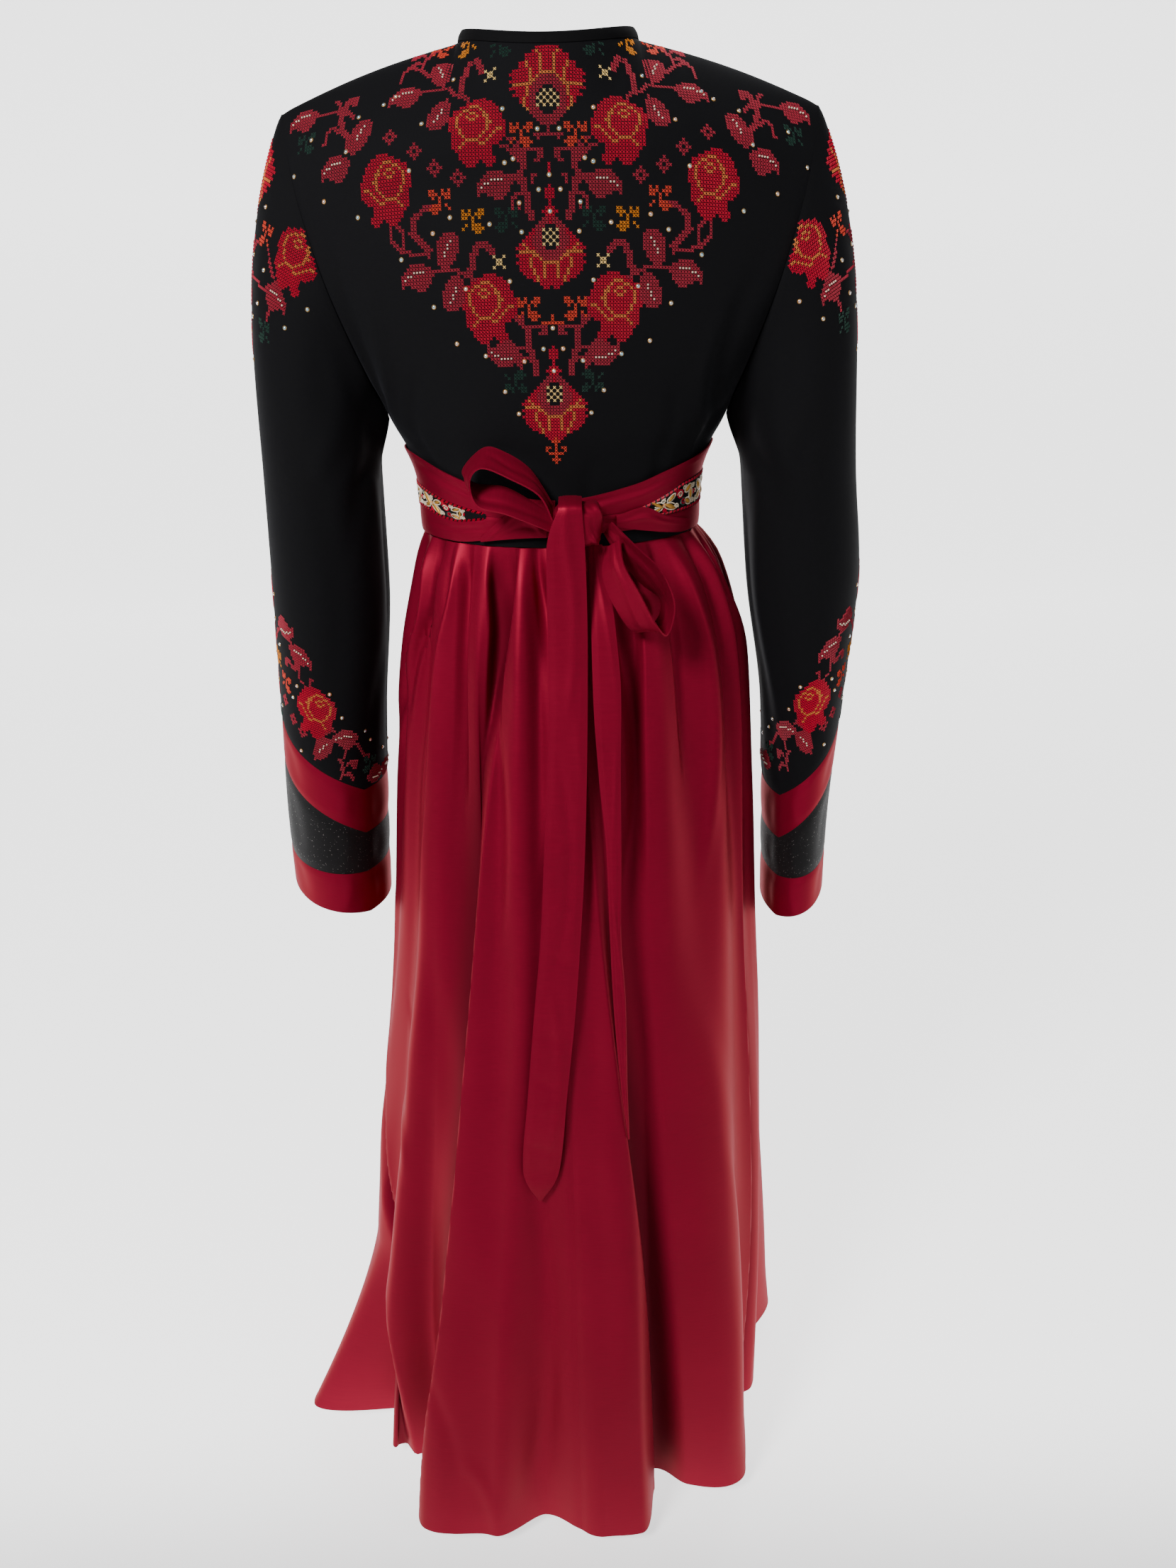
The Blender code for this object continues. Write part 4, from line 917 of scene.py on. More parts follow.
SLEEVE_CAP_SHARE = 0.5              # share of a sleeve's rows that its cap takes
SLEEVE_SIZE = (0.00096, 0.58)       # metres to a degree and to the sleeve's length
SLEEVE_CREASES = {
    -1: table(CREASE,
        (158, 0.1, 118, 0.62, 0.011, -0.0034), (128, 0.08, 92, 0.5, 0.01, 0.0026),
        (-156, 0.12, -120, 0.58, 0.011, -0.0032), (-126, 0.1, -98, 0.46, 0.01, 0.0022),
        (172, 0.52, 128, 0.98, 0.01, -0.0026), (150, 0.44, 152, 0.9, 0.009, 0.002),
        (84, 0.4, 96, 0.92, 0.013, -0.0018), (-100, 0.46, -112, 0.96, 0.012, -0.002),
        (-60, 0.3, -66, 0.84, 0.012, 0.0014)),
    1: table(CREASE,
        (156, 0.11, 114, 0.58, 0.011, -0.0034), (124, 0.08, 96, 0.54, 0.01, 0.0026),
        (-158, 0.1, -122, 0.6, 0.011, -0.0032), (-122, 0.12, -90, 0.48, 0.01, 0.0022),
        (168, 0.5, 140, 0.96, 0.01, -0.0026), (140, 0.48, 122, 0.94, 0.009, 0.0022),
        (90, 0.36, 88, 0.86, 0.013, -0.0018), (-104, 0.42, -96, 0.94, 0.012, -0.002),
        (-58, 0.34, -70, 0.9, 0.012, 0.0014)),
}
BAND_SIZE = (SLEEVE_SIZE[0], 0.08)      # metres to a degree and to a band's height
BAND_LOW, BAND_CLIMB, BAND_TURN = 0.02, 0.07, 120.0     # a band's least height, what it gains, and by where
BAND_CREASES = table(CREASE,
    (-150, 0.1, -140, 0.9, 0.008, -0.0014), (-60, 0.0, -72, 1.0, 0.009, 0.001),
    (40, 0.0, 52, 1.0, 0.009, -0.001), (112, 0.0, 100, 1.0, 0.007, 0.0012),
    (146, 0.0, 150, 1.0, 0.008, -0.0016))
BINDING_CROWN, BINDING_SINK = 0.0007, 0.0004    # how full the binding is, and how far it is drawn in


def seam_dip(distance):
    """The roll of cloth into a seam, by the distance from it in metres."""
    return -SEAM_ROLL * np.exp(-(distance / SEAM_REACH) ** 2)


def bodice_cloth(back):
    def lift(share, height):
        folds = crease_lift(BODICE_CREASES[back], share, height, *BODICE_SIZE)
        held = np.maximum(folds, 0.0) * (1.0 - ease(height, *BELT_HOLD))
        folds = folds - held - PRESSED * (height < BELT_HOLD[0])
        edge = (1.0 - np.abs(share)) * BODICE_SIZE[0]
        top = (SHOULDER - height) * BODICE_SIZE[1]
        return folds * ease(edge, 0.0, SIDE_FADE) + seam_dip(edge) + seam_dip(top)

    return Cloth(lambda share, height: bodice_point(share, height, back), (-1.0, 1.0), (SHOULDER, 0.0),
                 flip=back, lift=lift, bunch=SHOULDER_BUNCH)


def sleeve_cloth(side):
    def surface(angle, share):
        end = chevron_z(side, "sleeve_end", angle) + SEAM_GAP * 0.5
        cap = share / SLEEVE_CAP_SHARE
        arm = (share - SLEEVE_CAP_SHARE) / (1.0 - SLEEVE_CAP_SHARE) * (SLEEVE_RINGS[0].z - end)
        return sleeve_point(side, angle, np.where(share < SLEEVE_CAP_SHARE, cap, 1.0 + arm))

    def lift(angle, share):
        folds = crease_lift(SLEEVE_CREASES[side], angle, share, *SLEEVE_SIZE)
        top, end = share * SLEEVE_SIZE[1], (1.0 - share) * SLEEVE_SIZE[1]
        underarm = (180.0 - np.abs(angle)) * SLEEVE_SIZE[0]
        folds = folds * ease(top, 0.0, ARMHOLE_FADE) * ease(end, 0.0, SIDE_FADE)
        return folds + seam_dip(top) + seam_dip(end) + seam_dip(underarm)

    return Cloth(surface, (-180.0, 180.0), (0.0, 1.0), flip=side < 0, lift=lift)


def band_cloth(side, upper, lower):
    def surface(angle, share):
        top = chevron_z(side, upper, angle) - SEAM_GAP * 0.5
        bottom = chevron_z(side, lower, angle) + SEAM_GAP * 0.5
        return sleeve_point(side, angle, 1.0 + SLEEVE_RINGS[0].z - mix(top, bottom, share))

    def lift(angle, share):
        height = BAND_LOW + BAND_CLIMB * ease(CHEVRON_REACH - np.abs(angle), 0.0, BAND_TURN)
        folds = crease_lift(BAND_CREASES, angle, share, *BAND_SIZE)
        if lower == "cuff_end":
            return folds + seam_dip(share * height)
        ends = seam_dip(share * height) + seam_dip((1.0 - share) * height)
        return folds * np.sin(math.pi * share) + ends

    return Cloth(surface, (-180.0, 180.0), (0.0, 1.0), flip=side < 0, lift=lift)


def binding_cloth():
    def surface(turn, share):
        angle = np.radians(turn)
        back = np.cos(angle) >= 0.0
        mid_y, mid_z = np.where(back, NAPE_Y, THROAT_Y), np.where(back, NAPE_Z, THROAT_Z)
        foot = xyz(NECK_HALF_WIDTH * np.sin(angle), mid_y * np.abs(np.cos(angle)),
                   mix(mid_z, NECK_SIDE_Z, np.sin(angle) ** 2))
        inward = unit(foot * (-1.0, -1.0, 0.0))
        climb = unit(inward * BINDING_LEAN + (0.0, 0.0, 1.0))
        return foot + climb * (SEAM_GAP + (BINDING_HEIGHT - SEAM_GAP) * share)[..., None]

    def lift(turn, share):
        return BINDING_CROWN * np.sin(math.pi * np.clip(share, 0.0, 1.0)) - BINDING_SINK

    return Cloth(surface, (0.0, 360.0), (1.0, 0.0), flip=True, lift=lift)


# ---------------------------------------------------------------------------- skirt
SKIRT_SIZE = (0.0034, 1.10)         # metres to a degree and to the skirt's length
WAIST_DEGREE, HEM_DEGREE = 0.0021, 0.0052   # metres to a degree at the waist and at the hem

# A pleat is a crisp edge with a trough beside it: its path is (share down the skirt, bearing) rows, the
# side is where its trough lies, and it has its full height from the share named grown.
STEEP = 0.0065              # how wide the fall from a pleat's edge into its trough is
PAINTED_SHADE_DEPTH = 0.017           # how far in a trough lies for its painted shade to be at its darkest
SKIRT_PLEATS = table("path side rise drop wide grown",
    (((0.0, -14.8), (0.05, -16.4), (0.1, -19.8), (0.16, -23.0), (0.22, -25.4), (0.34, -28.2), (0.47, -29.8),
      (0.6, -30.6), (0.74, -31.8), (0.84, -33.8), (1.06, -37.5)), -1, 0.005, 0.021, 0.048, 0.4),
    (((0.1, 6.0), (0.19, 7.0), (0.31, 8.8), (0.42, 11.4), (0.53, 14.2), (0.69, 17.6), (0.79, 19.5),
      (1.06, 23.5)), 1, 0.003, 0.019, 0.044, 0.62),
    (((0.34, -81.0), (0.5, -77.0), (0.67, -67.8), (0.79, -55.0), (0.9, -52.0), (1.06, -50.0)), -1, 0.004,
      0.014, 0.034, 0.75),
    (((0.02, 68.5), (0.09, 68.0), (0.36, 64.2), (0.7, 65.5), (1.06, 62.0)), 1, 0.004, 0.014, 0.04, 0.45),
    (((0.0, -66.0), (0.06, -63.0), (0.11, -67.8), (0.17, -77.0), (0.24, -80.0)), -1, 0.0046, 0.006, 0.012,
      0.03),
    (((0.0, -53.0), (0.05, -53.0), (0.1, -60.0), (0.18, -63.0)), -1, 0.0042, 0.0056, 0.01, 0.03),
    (((0.0, -44.0), (0.04, -44.8), (0.08, -46.8), (0.14, -48.0), (0.36, -52.0)), -1, 0.0034, 0.007, 0.014,
      0.04),
    (((0.0, -30.2), (0.04, -27.2), (0.07, -25.8), (0.13, -25.8), (0.19, -27.0)), 1, 0.003, 0.006, 0.009,
      0.03),
    (((0.0, -36.5), (0.05, -35.0), (0.12, -34.5), (0.26, -36.0)), -1, 0.0026, 0.005, 0.01, 0.04),
    (((0.0, 30.0), (0.03, 27.0), (0.07, 26.2), (0.19, 24.2), (0.34, 24.0)), -1, 0.0024, 0.0036, 0.008,
      0.05),
    (((0.0, 57.0), (0.05, 56.0), (0.14, 55.0), (0.3, 53.0)), 1, 0.0026, 0.004, 0.014, 0.05),
    (((0.0, 36.0), (0.05, 35.0), (0.12, 35.0), (0.22, 37.0)), 1, 0.0022, 0.0034, 0.01, 0.05),
    (((0.0, 78.0), (0.05, 80.0), (0.12, 84.0), (0.24, 87.0)), 1, 0.003, 0.0046, 0.012, 0.04))
SKIRT_CREASES = table(CREASE,
    (-58, 0.16, -60, 0.6, 0.014, 0.003), (-9.5, 0.0, -7, 0.3, 0.006, -0.0085),
    (-21, 0.1, -23, 0.4, 0.009, 0.0022), (16, 0.02, 15, 0.34, 0.007, -0.005),
    (47, 0.0, 43, 0.3, 0.008, 0.0034), (-49, 0.36, -46, 0.98, 0.016, -0.003),
    (-27, 0.6, -24, 1.02, 0.018, 0.003), (-15, 0.5, -18, 1.02, 0.01, -0.0024),
    (-8, 0.7, -12, 1.02, 0.012, 0.002), (3, 0.46, 6, 0.92, 0.016, 0.0024),
    (36, 0.4, 40, 0.96, 0.018, 0.0036), (46, 0.55, 50, 1.02, 0.012, -0.0028),
    (-34, 0.8, -30, 1.01, 0.006, -0.002), (-26, 0.9, -20, 1.01, 0.006, 0.0016),
    (52, 0.78, 45, 1.0, 0.007, 0.0018), (-62, 0.44, -56, 0.56, 0.005, -0.0016),
    (-60, 0.54, -52, 0.62, 0.005, 0.0016), (-82, 0.1, -84, 0.7, 0.014, 0.0034),
    (-96, 0.0, -99, 0.44, 0.008, -0.0034), (-108, 0.0, -112, 0.52, 0.009, 0.0036),
    (-122, 0.0, -124, 0.38, 0.008, -0.0032), (-136, 0.0, -140, 0.56, 0.01, 0.0034),
    (-150, 0.0, -151, 0.36, 0.008, -0.003), (-163, 0.0, -166, 0.46, 0.009, 0.0032),
    (-176, 0.0, -176, 0.34, 0.008, -0.003), (97, 0.0, 100, 0.46, 0.009, 0.0036),
    (111, 0.0, 113, 0.36, 0.008, -0.0032), (126, 0.0, 130, 0.54, 0.01, 0.0034),
    (140, 0.0, 142, 0.4, 0.008, -0.003), (153, 0.0, 156, 0.5, 0.009, 0.0032),
    (168, 0.0, 168, 0.36, 0.008, -0.0028), (-118, 0.55, -120, 1.0, 0.02, 0.004),
    (-146, 0.5, -142, 1.0, 0.02, -0.004), (172, 0.55, 170, 1.0, 0.02, -0.0036),
    (134, 0.52, 131, 1.0, 0.02, 0.004), (104, 0.6, 101, 1.0, 0.018, -0.0036))
HEM_TURN = 0.012            # depth of the turned-up hem
HEM_RIB, HEM_RIB_WIDTH = 0.0007, 0.0016     # the dint of its stitches
WAIST_FADE = 0.012          # how far below the waist seam the folds have their full height
PLEAT_START = 0.35          # share of its height that a pleat has at its top
PLEAT_ENTRY = (-0.01, 0.03)         # over what share of the skirt it begins
PLEAT_FADE = 0.45           # how far along its path it begins to fade
CREST_FALL = 0.6            # how quickly its edge falls away behind, as a share of its trough's width


def pleat_lift(bearing, share):
    """How far the pleats carry the skirt out, or draw it in, at a bearing and a share down."""
    degree = mix(WAIST_DEGREE, HEM_DEGREE, share)
    lift = 0.0
    for pleat in SKIRT_PLEATS:
        first, last = pleat.path[0][0], pleat.path[-1][0]
        out = (bearing - smooth_curve(*zip(*pleat.path))(share)) * degree * pleat.side
        fall = ease(out, 0.0, STEEP)
        crest = np.where(out < 0.0, np.exp(np.minimum(out, 0.0) / (CREST_FALL * pleat.wide)), 1.0 - fall)
        trough = fall * (1.0 - ease(out, STEEP, STEEP + pleat.wide))
        size = mix(PLEAT_START, 1.0, ease(share, first, pleat.grown))
        size = size * ease(share, *(first + step for step in PLEAT_ENTRY))
        if last < 1.0:
            size = size * (1.0 - ease(share, mix(first, last, PLEAT_FADE), last))
        lift = lift + size * (pleat.rise * crest - pleat.drop * trough)
    return lift


def paint_fold_shade(thing, start, end, columns, rows):
    """Writes how deep each point of a skirt panel lies in a pleat, from 0 to 1, which is how much painted
    shade the satin gets there.
    """
    bearing = wrapped(np.linspace(start, end, columns)[None, :])
    depth = ease(-pleat_lift(bearing, np.linspace(0.0, 1.0, rows)[:, None]), 0.0, PAINTED_SHADE_DEPTH)
    layer = thing.data.attributes.new(FOLD_SHADE_MAP, "FLOAT", "POINT")
    layer.data.foreach_set("value", np.tile(depth.ravel(), 2).astype(np.float32))


def skirt_cloth(start, end):
    def lift(bearing, share):
        place = wrapped(bearing)
        folds = crease_lift(SKIRT_CREASES, place, share, *SKIRT_SIZE) + pleat_lift(place, share)
        down = share * SKIRT_SIZE[1]
        edge = np.minimum(bearing - start, end - bearing) * SKIRT_SIZE[0]
        hem = (1.0 - share) * SKIRT_SIZE[1]
        stitched = -HEM_RIB * np.exp(-((hem - HEM_TURN) / HEM_RIB_WIDTH) ** 2)
        return folds * ease(down, 0.0, WAIST_FADE) + seam_dip(edge) + seam_dip(down) + stitched

    return Cloth(skirt_point, (start, end), (0.0, 1.0), flip=True, lift=lift)


# ---------------------------------------------------------------------------- belt
BELT_SIZE = (0.00178, 0.028)        # metres to a degree and to a strip's width
STRIP_CROWN, STRIP_SINK = 0.0005, 0.0003    # how full a strip is, and how far it is drawn in
STRIP_FADE = (0.02, 0.98)           # its creases fade from and to these shares of its width
BELT_CREASES = {
    "belt_upper_strip": table(CREASE,
        (291, 0.3, 331, 0.62, 0.0035, -0.0012), (300, 0.62, 345, 0.8, 0.003, 0.001),
        (322, 0.2, 357, 0.5, 0.0035, 0.001), (3, 0.44, 44, 0.3, 0.0035, -0.0012),
        (6, 0.7, 56, 0.66, 0.0035, 0.0011), (30, 0.16, 74, 0.34, 0.003, 0.0008),
        (110, 0.6, 160, 0.42, 0.004, -0.0009), (200, 0.36, 250, 0.62, 0.004, 0.0009)),
    "belt_lower_strip": table(CREASE,
        (296, 0.4, 340, 0.6, 0.0035, -0.001), (310, 0.2, 352, 0.34, 0.003, 0.0009),
        (8, 0.5, 62, 0.62, 0.0035, -0.0011), (20, 0.24, 70, 0.3, 0.003, 0.0008),
        (120, 0.4, 170, 0.58, 0.004, 0.0009), (205, 0.6, 252, 0.4, 0.004, -0.0009)),
    "belt_end_left": table(CREASE,
        (-30, 0.85, -14, 0.15, 0.003, 0.0012), (-24, 0.95, -6, 0.55, 0.0026, -0.001),
        (-13, 0.05, -6, 0.9, 0.0022, 0.001)),
    "belt_end_right": table(CREASE,
        (24, 0.6, 60, 0.5, 0.003, 0.0012), (30, 0.2, 54, 0.3, 0.0026, -0.0009)),
}


def belt_edge(column, shift):
    """Height of one of the belt's edges by bearing."""
    def height(bearing):
        bearing = wrapped(bearing)
        plain = BELT_CURVES[column](bearing)
        if column in ("strip_top", "strip_bottom"):
            both = 0.5 * (BELT_CURVES["strip_top"](bearing) + BELT_CURVES["strip_bottom"](bearing))
            plain = np.where((bearing > STRIP_END_LEFT) & (bearing < STRIP_END_RIGHT), both, plain)
        return plain + shift
    return height


def overlay_cloth(node_name, ends, top, bottom, layer):
    """A strip on the bodice between two edges; layer 0 lies on the bodice, 1 on the belt."""
    face = LAY_GAP + layer * (CLOTH + LAY_GAP) + CLOTH

    def surface(bearing, share):
        bearing, share = np.broadcast_arrays(np.asarray(bearing, float), np.asarray(share, float))
        return belt_point(bearing, mix(top(bearing), bottom(bearing), share), face)

    def lift(bearing, share):
        folds = crease_lift(BELT_CREASES.get(node_name, ()), bearing, share, *BELT_SIZE)
        crown = STRIP_CROWN * np.sin(math.pi * np.clip(share, 0.0, 1.0)) ** 0.5
        return folds * np.sin(math.pi * np.clip(share, *STRIP_FADE)) + crown - STRIP_SINK

    return Cloth(surface, ends, (0.0, 1.0), flip=True, lift=lift)


BELT_STRIPS = {             # ends, then the column and the shift of the upper and of the lower edge
    "belt_upper_strip": (
        (BELT_OPENING, 360 - BELT_OPENING), ("top", 0.0), ("strip_top", SEAM_GAP * 0.5)),
    "belt_embroidered_strip": (
        (STRIP_END_RIGHT, 360 + STRIP_END_LEFT), ("strip_top", -SEAM_GAP * 0.5),
        ("strip_bottom", SEAM_GAP * 0.5)),
    "belt_lower_strip": (
        (BELT_OPENING, 360 - BELT_OPENING), ("strip_bottom", -SEAM_GAP * 0.5), ("bottom", 0.0)),
}


def belt_strip(name):
    ends, top, bottom = BELT_STRIPS[name]
    return overlay_cloth(name, ends, belt_edge(*top), belt_edge(*bottom), 0)


# ---------------------------------------------------------------------------- bow
RIBBON_SIZE = (0.028, 0.30)         # metres across and along a loop
TIE_CROWN = 0.0010                  # how full a tie is across
RIBBON_FADE = (0.05, 0.95)          # a ribbon's creases fade from and to these shares of its width
RIBBON_RIB, RIBBON_RIB_WIDTH, RIBBON_TURN = 0.0003, 0.0008, 0.0030      # the dint along its hems
LOOP_CREASES = {
    "bow_loop_left": table(CREASE,
        (0.2, 0.0, 0.36, 0.42, 0.0028, -0.0012), (0.62, 0.02, 0.58, 0.36, 0.0026, 0.001),
        (0.3, 0.55, 0.48, 1.0, 0.0028, 0.0011), (0.7, 0.6, 0.62, 1.0, 0.0026, -0.0012),
        (0.46, 0.0, 0.44, 0.3, 0.002, 0.0009), (0.8, 0.1, 0.72, 0.44, 0.0022, -0.0009)),
    "bow_loop_right": table(CREASE,
        (0.25, 0.0, 0.4, 0.4, 0.0028, 0.0012), (0.66, 0.02, 0.56, 0.34, 0.0026, -0.0012),
        (0.32, 0.6, 0.46, 1.0, 0.0028, -0.0012), (0.72, 0.62, 0.6, 1.0, 0.0026, 0.001),
        (0.48, 0.0, 0.5, 0.34, 0.002, -0.0009), (0.16, 0.3, 0.3, 0.66, 0.0022, 0.001)),
}
TIE_SIZE = (0.034, 0.69)            # metres across and down a tie
TIE_CREASES = {
    "tie_long": table(CREASE,
        (0.3, 0.04, 0.46, 0.3, 0.004, 0.0014), (0.72, 0.05, 0.6, 0.24, 0.0034, -0.0012),
        (0.24, 0.34, 0.3, 0.66, 0.004, -0.001), (0.66, 0.3, 0.74, 0.6, 0.004, 0.0012),
        (0.15, 0.735, 0.9, 0.742, 0.005, -0.001), (0.34, 0.66, 0.52, 0.97, 0.0036, 0.0012),
        (0.8, 0.7, 0.62, 0.94, 0.0034, -0.001), (0.08, 0.452, 0.8, 0.47, 0.0032, -0.0011),
        (0.2, 0.48, 0.94, 0.462, 0.003, 0.0009), (0.1, 0.56, 0.72, 0.548, 0.0034, 0.0009),
        (0.3, 0.618, 0.95, 0.634, 0.0032, -0.0011), (0.05, 0.795, 0.66, 0.812, 0.0034, -0.001),
        (0.36, 0.846, 0.96, 0.832, 0.0032, 0.001), (0.1, 0.905, 0.9, 0.918, 0.0036, -0.0009)),
    "tie_short": table(CREASE,
        (0.36, 0.02, 0.44, 0.46, 0.0036, 0.0012), (0.7, 0.1, 0.64, 0.6, 0.0034, -0.001),
        (0.4, 0.55, 0.5, 0.95, 0.0036, 0.001), (0.1, 0.3, 0.85, 0.316, 0.0032, -0.0009),
        (0.15, 0.52, 0.9, 0.505, 0.0032, 0.0008), (0.1, 0.7, 0.9, 0.716, 0.0032, -0.0009)),
}
TIE_LIFT, TIE_LIFT_REACH = 0.0012, 0.05     # how much further the ties lie off the creased skirt
OVER_KNOT_BACK, OVER_KNOT_ROWS, OVER_KNOT_RISE = 0.35, 8, 0.0014    # how the long tie comes over the knot
WRAP_SLANT = (0.9, 0.5)             # which way the wraps of ribbon run round the knot
WRAPS = ((0.045, 9.0, 0.0), (0.02, 17.0, 2.0))      # their depth, how many there are, and their skew
PINCH_DEPTH, PINCH_PLACE, PINCH_WIDTH, PINCH_SIDE = 0.10, -0.1, 0.25, 0.2       # where the knot is drawn in
WRAP_ROOM = 0.05


def ribbon_wall(name, left, right, columns, creases, sizes, crown, thickness, material):
    """A ribbon between two edges: crowned across, creased, and closed all round."""
    share = np.linspace(0.0, 1.0, columns)
    middle = mix(left[:, None], right[:, None], share[None, :, None])
    along = np.gradient(middle, axis=0)
    normal = unit(np.cross(along, (right - left)[:, None]))
    down = np.linspace(0.0, 1.0, len(left))[:, None]
    lift = crease_lift(creases, share[None, :], down, *sizes)
    lift = lift * np.sin(math.pi * np.clip(share, *RIBBON_FADE)) + crown * (1.0 - (2.0 * share - 1.0) ** 4)
    hem = np.minimum(share, 1.0 - share) * np.linalg.norm(right - left, axis=-1)[:, None]
    lift = lift - RIBBON_RIB * np.exp(-((hem - RIBBON_TURN) / RIBBON_RIB_WIDTH) ** 2)
    face = middle + normal * lift[..., None]
    outer, inner = face + normal * thickness * 0.5, face - normal * thickness * 0.5
    vertices, faces = wall_mesh(outer, inner, False, True)
    thing = new_object(name + "_cloth", vertices, faces, [material])
    cloth_uv(thing, outer)
    return thing, grid_size(outer)


def loop_edges(rows, count):
    """The two edges of a loop of ribbon, smoothly through its table."""
    middles = np.array([row[:3] for row in rows])
    edges = np.array([row[3:] for row in rows])
    place = np.linspace(0.0, len(rows) - 1, count)
    i = np.minimum(place.astype(int), len(rows) - 2)
    share = (place - i)[:, None]
    before, after = np.maximum(i - 1, 0), np.minimum(i + 2, len(rows) - 1)
    middle = spline(middles[before], middles[i], middles[i + 1], middles[after], share)
    edge = spline(edges[before], edges[i], edges[i + 1], edges[after], share)
    return middle - edge, middle + edge


def tie_edges(rows, start_y, count):
    """The two edges of a hanging tie, from the knot down to its tip."""
    left, right = column_curves(rows, -1.0).values()
    heights = [row.z for row in rows]
    heights = sorted(heights + [0.5 * (a + b) for a, b in zip(heights, heights[1:])], reverse=True)
    faces = []
    for i, z in enumerate(heights):
        low = heights[min(i + 1, len(heights) - 1)]
        high = heights[max(i - 1, 0)]
        y = start_y
        if low < WAIST_Z:
            rest = rest_y(float(left(z)) - TIE_MARGIN, float(right(z)) + TIE_MARGIN, low, high)
            y = min(start_y, rest - TIE_CLEARANCE)
        faces.append(y - RIBBON * 0.5)
    drop = -np.array(heights)
    z = -np.linspace(drop[0], drop[-1], count)
    y = smooth_curve(drop, faces)(-z) - TIE_LIFT * ease(-z, -WAIST_Z, -WAIST_Z + TIE_LIFT_REACH)
    return xyz(left(z), y, z), xyz(right(z), y, z)


def over_knot(left, right):
    """Starts the long tie behind the top of the knot and brings it over to the front."""
    top = KNOT_CENTRE[2] + KNOT_HALF_SIZE[2]
    back = KNOT_CENTRE[1] + OVER_KNOT_BACK * KNOT_HALF_SIZE[1]
    turn = np.linspace(0.0, math.pi / 2.0, OVER_KNOT_ROWS)[:-1]
    y = back + (left[0, 1] - back) * np.sin(turn)
    z = left[0, 2] + (top + OVER_KNOT_RISE - left[0, 2]) * np.cos(turn)
    return [np.concatenate((xyz(edge[0, 0], y, z), edge)) for edge in (left, right)]


def knot_points(rows, columns):
    """The knot: wraps of ribbon drawn tight round a rounded block."""
    polar = np.linspace(0.0, math.pi, rows)[:, None]
    turn = np.linspace(0.0, math.tau, columns, endpoint=False)[None, :]
    ball = xyz(np.sin(polar) * np.cos(turn), np.sin(polar) * np.sin(turn), np.cos(polar) + 0.0 * turn)
    block = np.sign(ball) * np.abs(ball) ** KNOT_ROUNDNESS
    x, y, z = np.moveaxis(ball, -1, 0)
    slant = x * WRAP_SLANT[0] + z * WRAP_SLANT[1]
    wraps = sum(depth * np.sin(times * slant + skew * y) for depth, times, skew in WRAPS)
    pinch = 1.0 - PINCH_DEPTH * np.exp(-((z - PINCH_PLACE) / PINCH_WIDTH) ** 2) * (x > PINCH_SIDE)
    return KNOT_CENTRE + block * KNOT_HALF_SIZE * ((1.0 - WRAP_ROOM + wraps) * pinch)[..., None]


# ---------------------------------------------------------------------------- small repeated shapes
class Scatter:
    """Many small copies of plain shapes, gathered into one mesh."""

    def __init__(self, *materials):
        self.materials = materials
        self.vertices, self.faces, self.slots = [], [], []
        self.count = 0

    def add(self, shape, points, axes, size, slots):
        """Copies of a shape at points; axes are its three directions at each, slots its materials."""
        corners, faces = shape
        x_axis, y_axis, z_axis = (axis[:, None, :] for axis in axes)
        x, y, z = (corners[None, :, n, None] * size[n] for n in range(3))
        placed = points[:, None, :] + x * x_axis + y * y_axis + z * z_axis
        self.vertices.append(placed.reshape(-1, 3))
        for n, slot in enumerate(np.broadcast_to(slots, len(points)).tolist()):
            start = self.count + n * len(corners)
            self.faces += [tuple(start + k for k in face) for face in faces]
            self.slots += [slot] * len(faces)
        self.count += len(points) * len(corners)

    def settle(self, name, slot):
        thing = new_object(name, np.concatenate(self.vertices), self.faces, self.materials, self.slots)
        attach(thing, "root")
        return thing


def turned(profile, sides):
    """A small turned shape from (radius, height) rows, from the foot up, closed at both ends."""
    turn = np.linspace(0.0, math.tau, sides, endpoint=False)
    corners = np.concatenate([xyz(r * np.cos(turn), r * np.sin(turn), z) for r, z in profile])
    faces = grid_faces(len(profile), sides, 0, True)
    last = (len(profile) - 1) * sides
    return corners, faces + [tuple(range(sides))[::-1], tuple(range(last, last + sides))]


THREAD_BAR = (
    np.array(((-1, -1, 0), (-1, 1, 0), (1, 1, 0), (1, -1, 0), (-0.72, 0, 1), (0.72, 0, 1)), float),
    ((0, 1, 2, 3), (0, 3, 5, 4), (2, 1, 4, 5), (1, 0, 4), (3, 2, 5)),
)
BEAD = turned(((0.95, 0.0), (1.0, 0.45), (0.55, 0.95)), 6)
STONE = turned(((1.0, 0.0), (0.98, 0.35), (0.52, 0.9)), 8)
STONE_RIM = turned(((1.16, 0.0), (1.16, 0.30), (0.99, 0.42), (0.9, 0.1)), 8)
PETAL = turned(((1.0, 0.0), (0.92, 0.45), (0.6, 0.85), (0.2, 1.0)), 12)
PETAL[0][:, 1] *= 1.0 - 0.62 * PETAL[0][:, 0] ** 4      # drawn to a point at both ends


# ---------------------------------------------------------------------------- embroidery charts
CELL = 0.00265              # one cross-stitch
BAR_HALF_LENGTH = 0.60      # along a cell's diagonal, in cells
BAR_HALF_WIDTH = 0.185
LOWER_HEIGHT, UPPER_HEIGHT = 0.00055, 0.00080
STITCH_SINK = 0.0002
BEAD_SIZE = (0.00085, 0.00085, 0.0011)
STONE_SIZE = (0.0017, 0.0017, 0.0014)

THREADS = "RGDCOYE"         # red, gold line, burgundy, cream, orange, ochre, green
BEADED = "B"                # burgundy with a cream bead on it
STEM_STEPS = 2.5            # steps to a cell along a stem

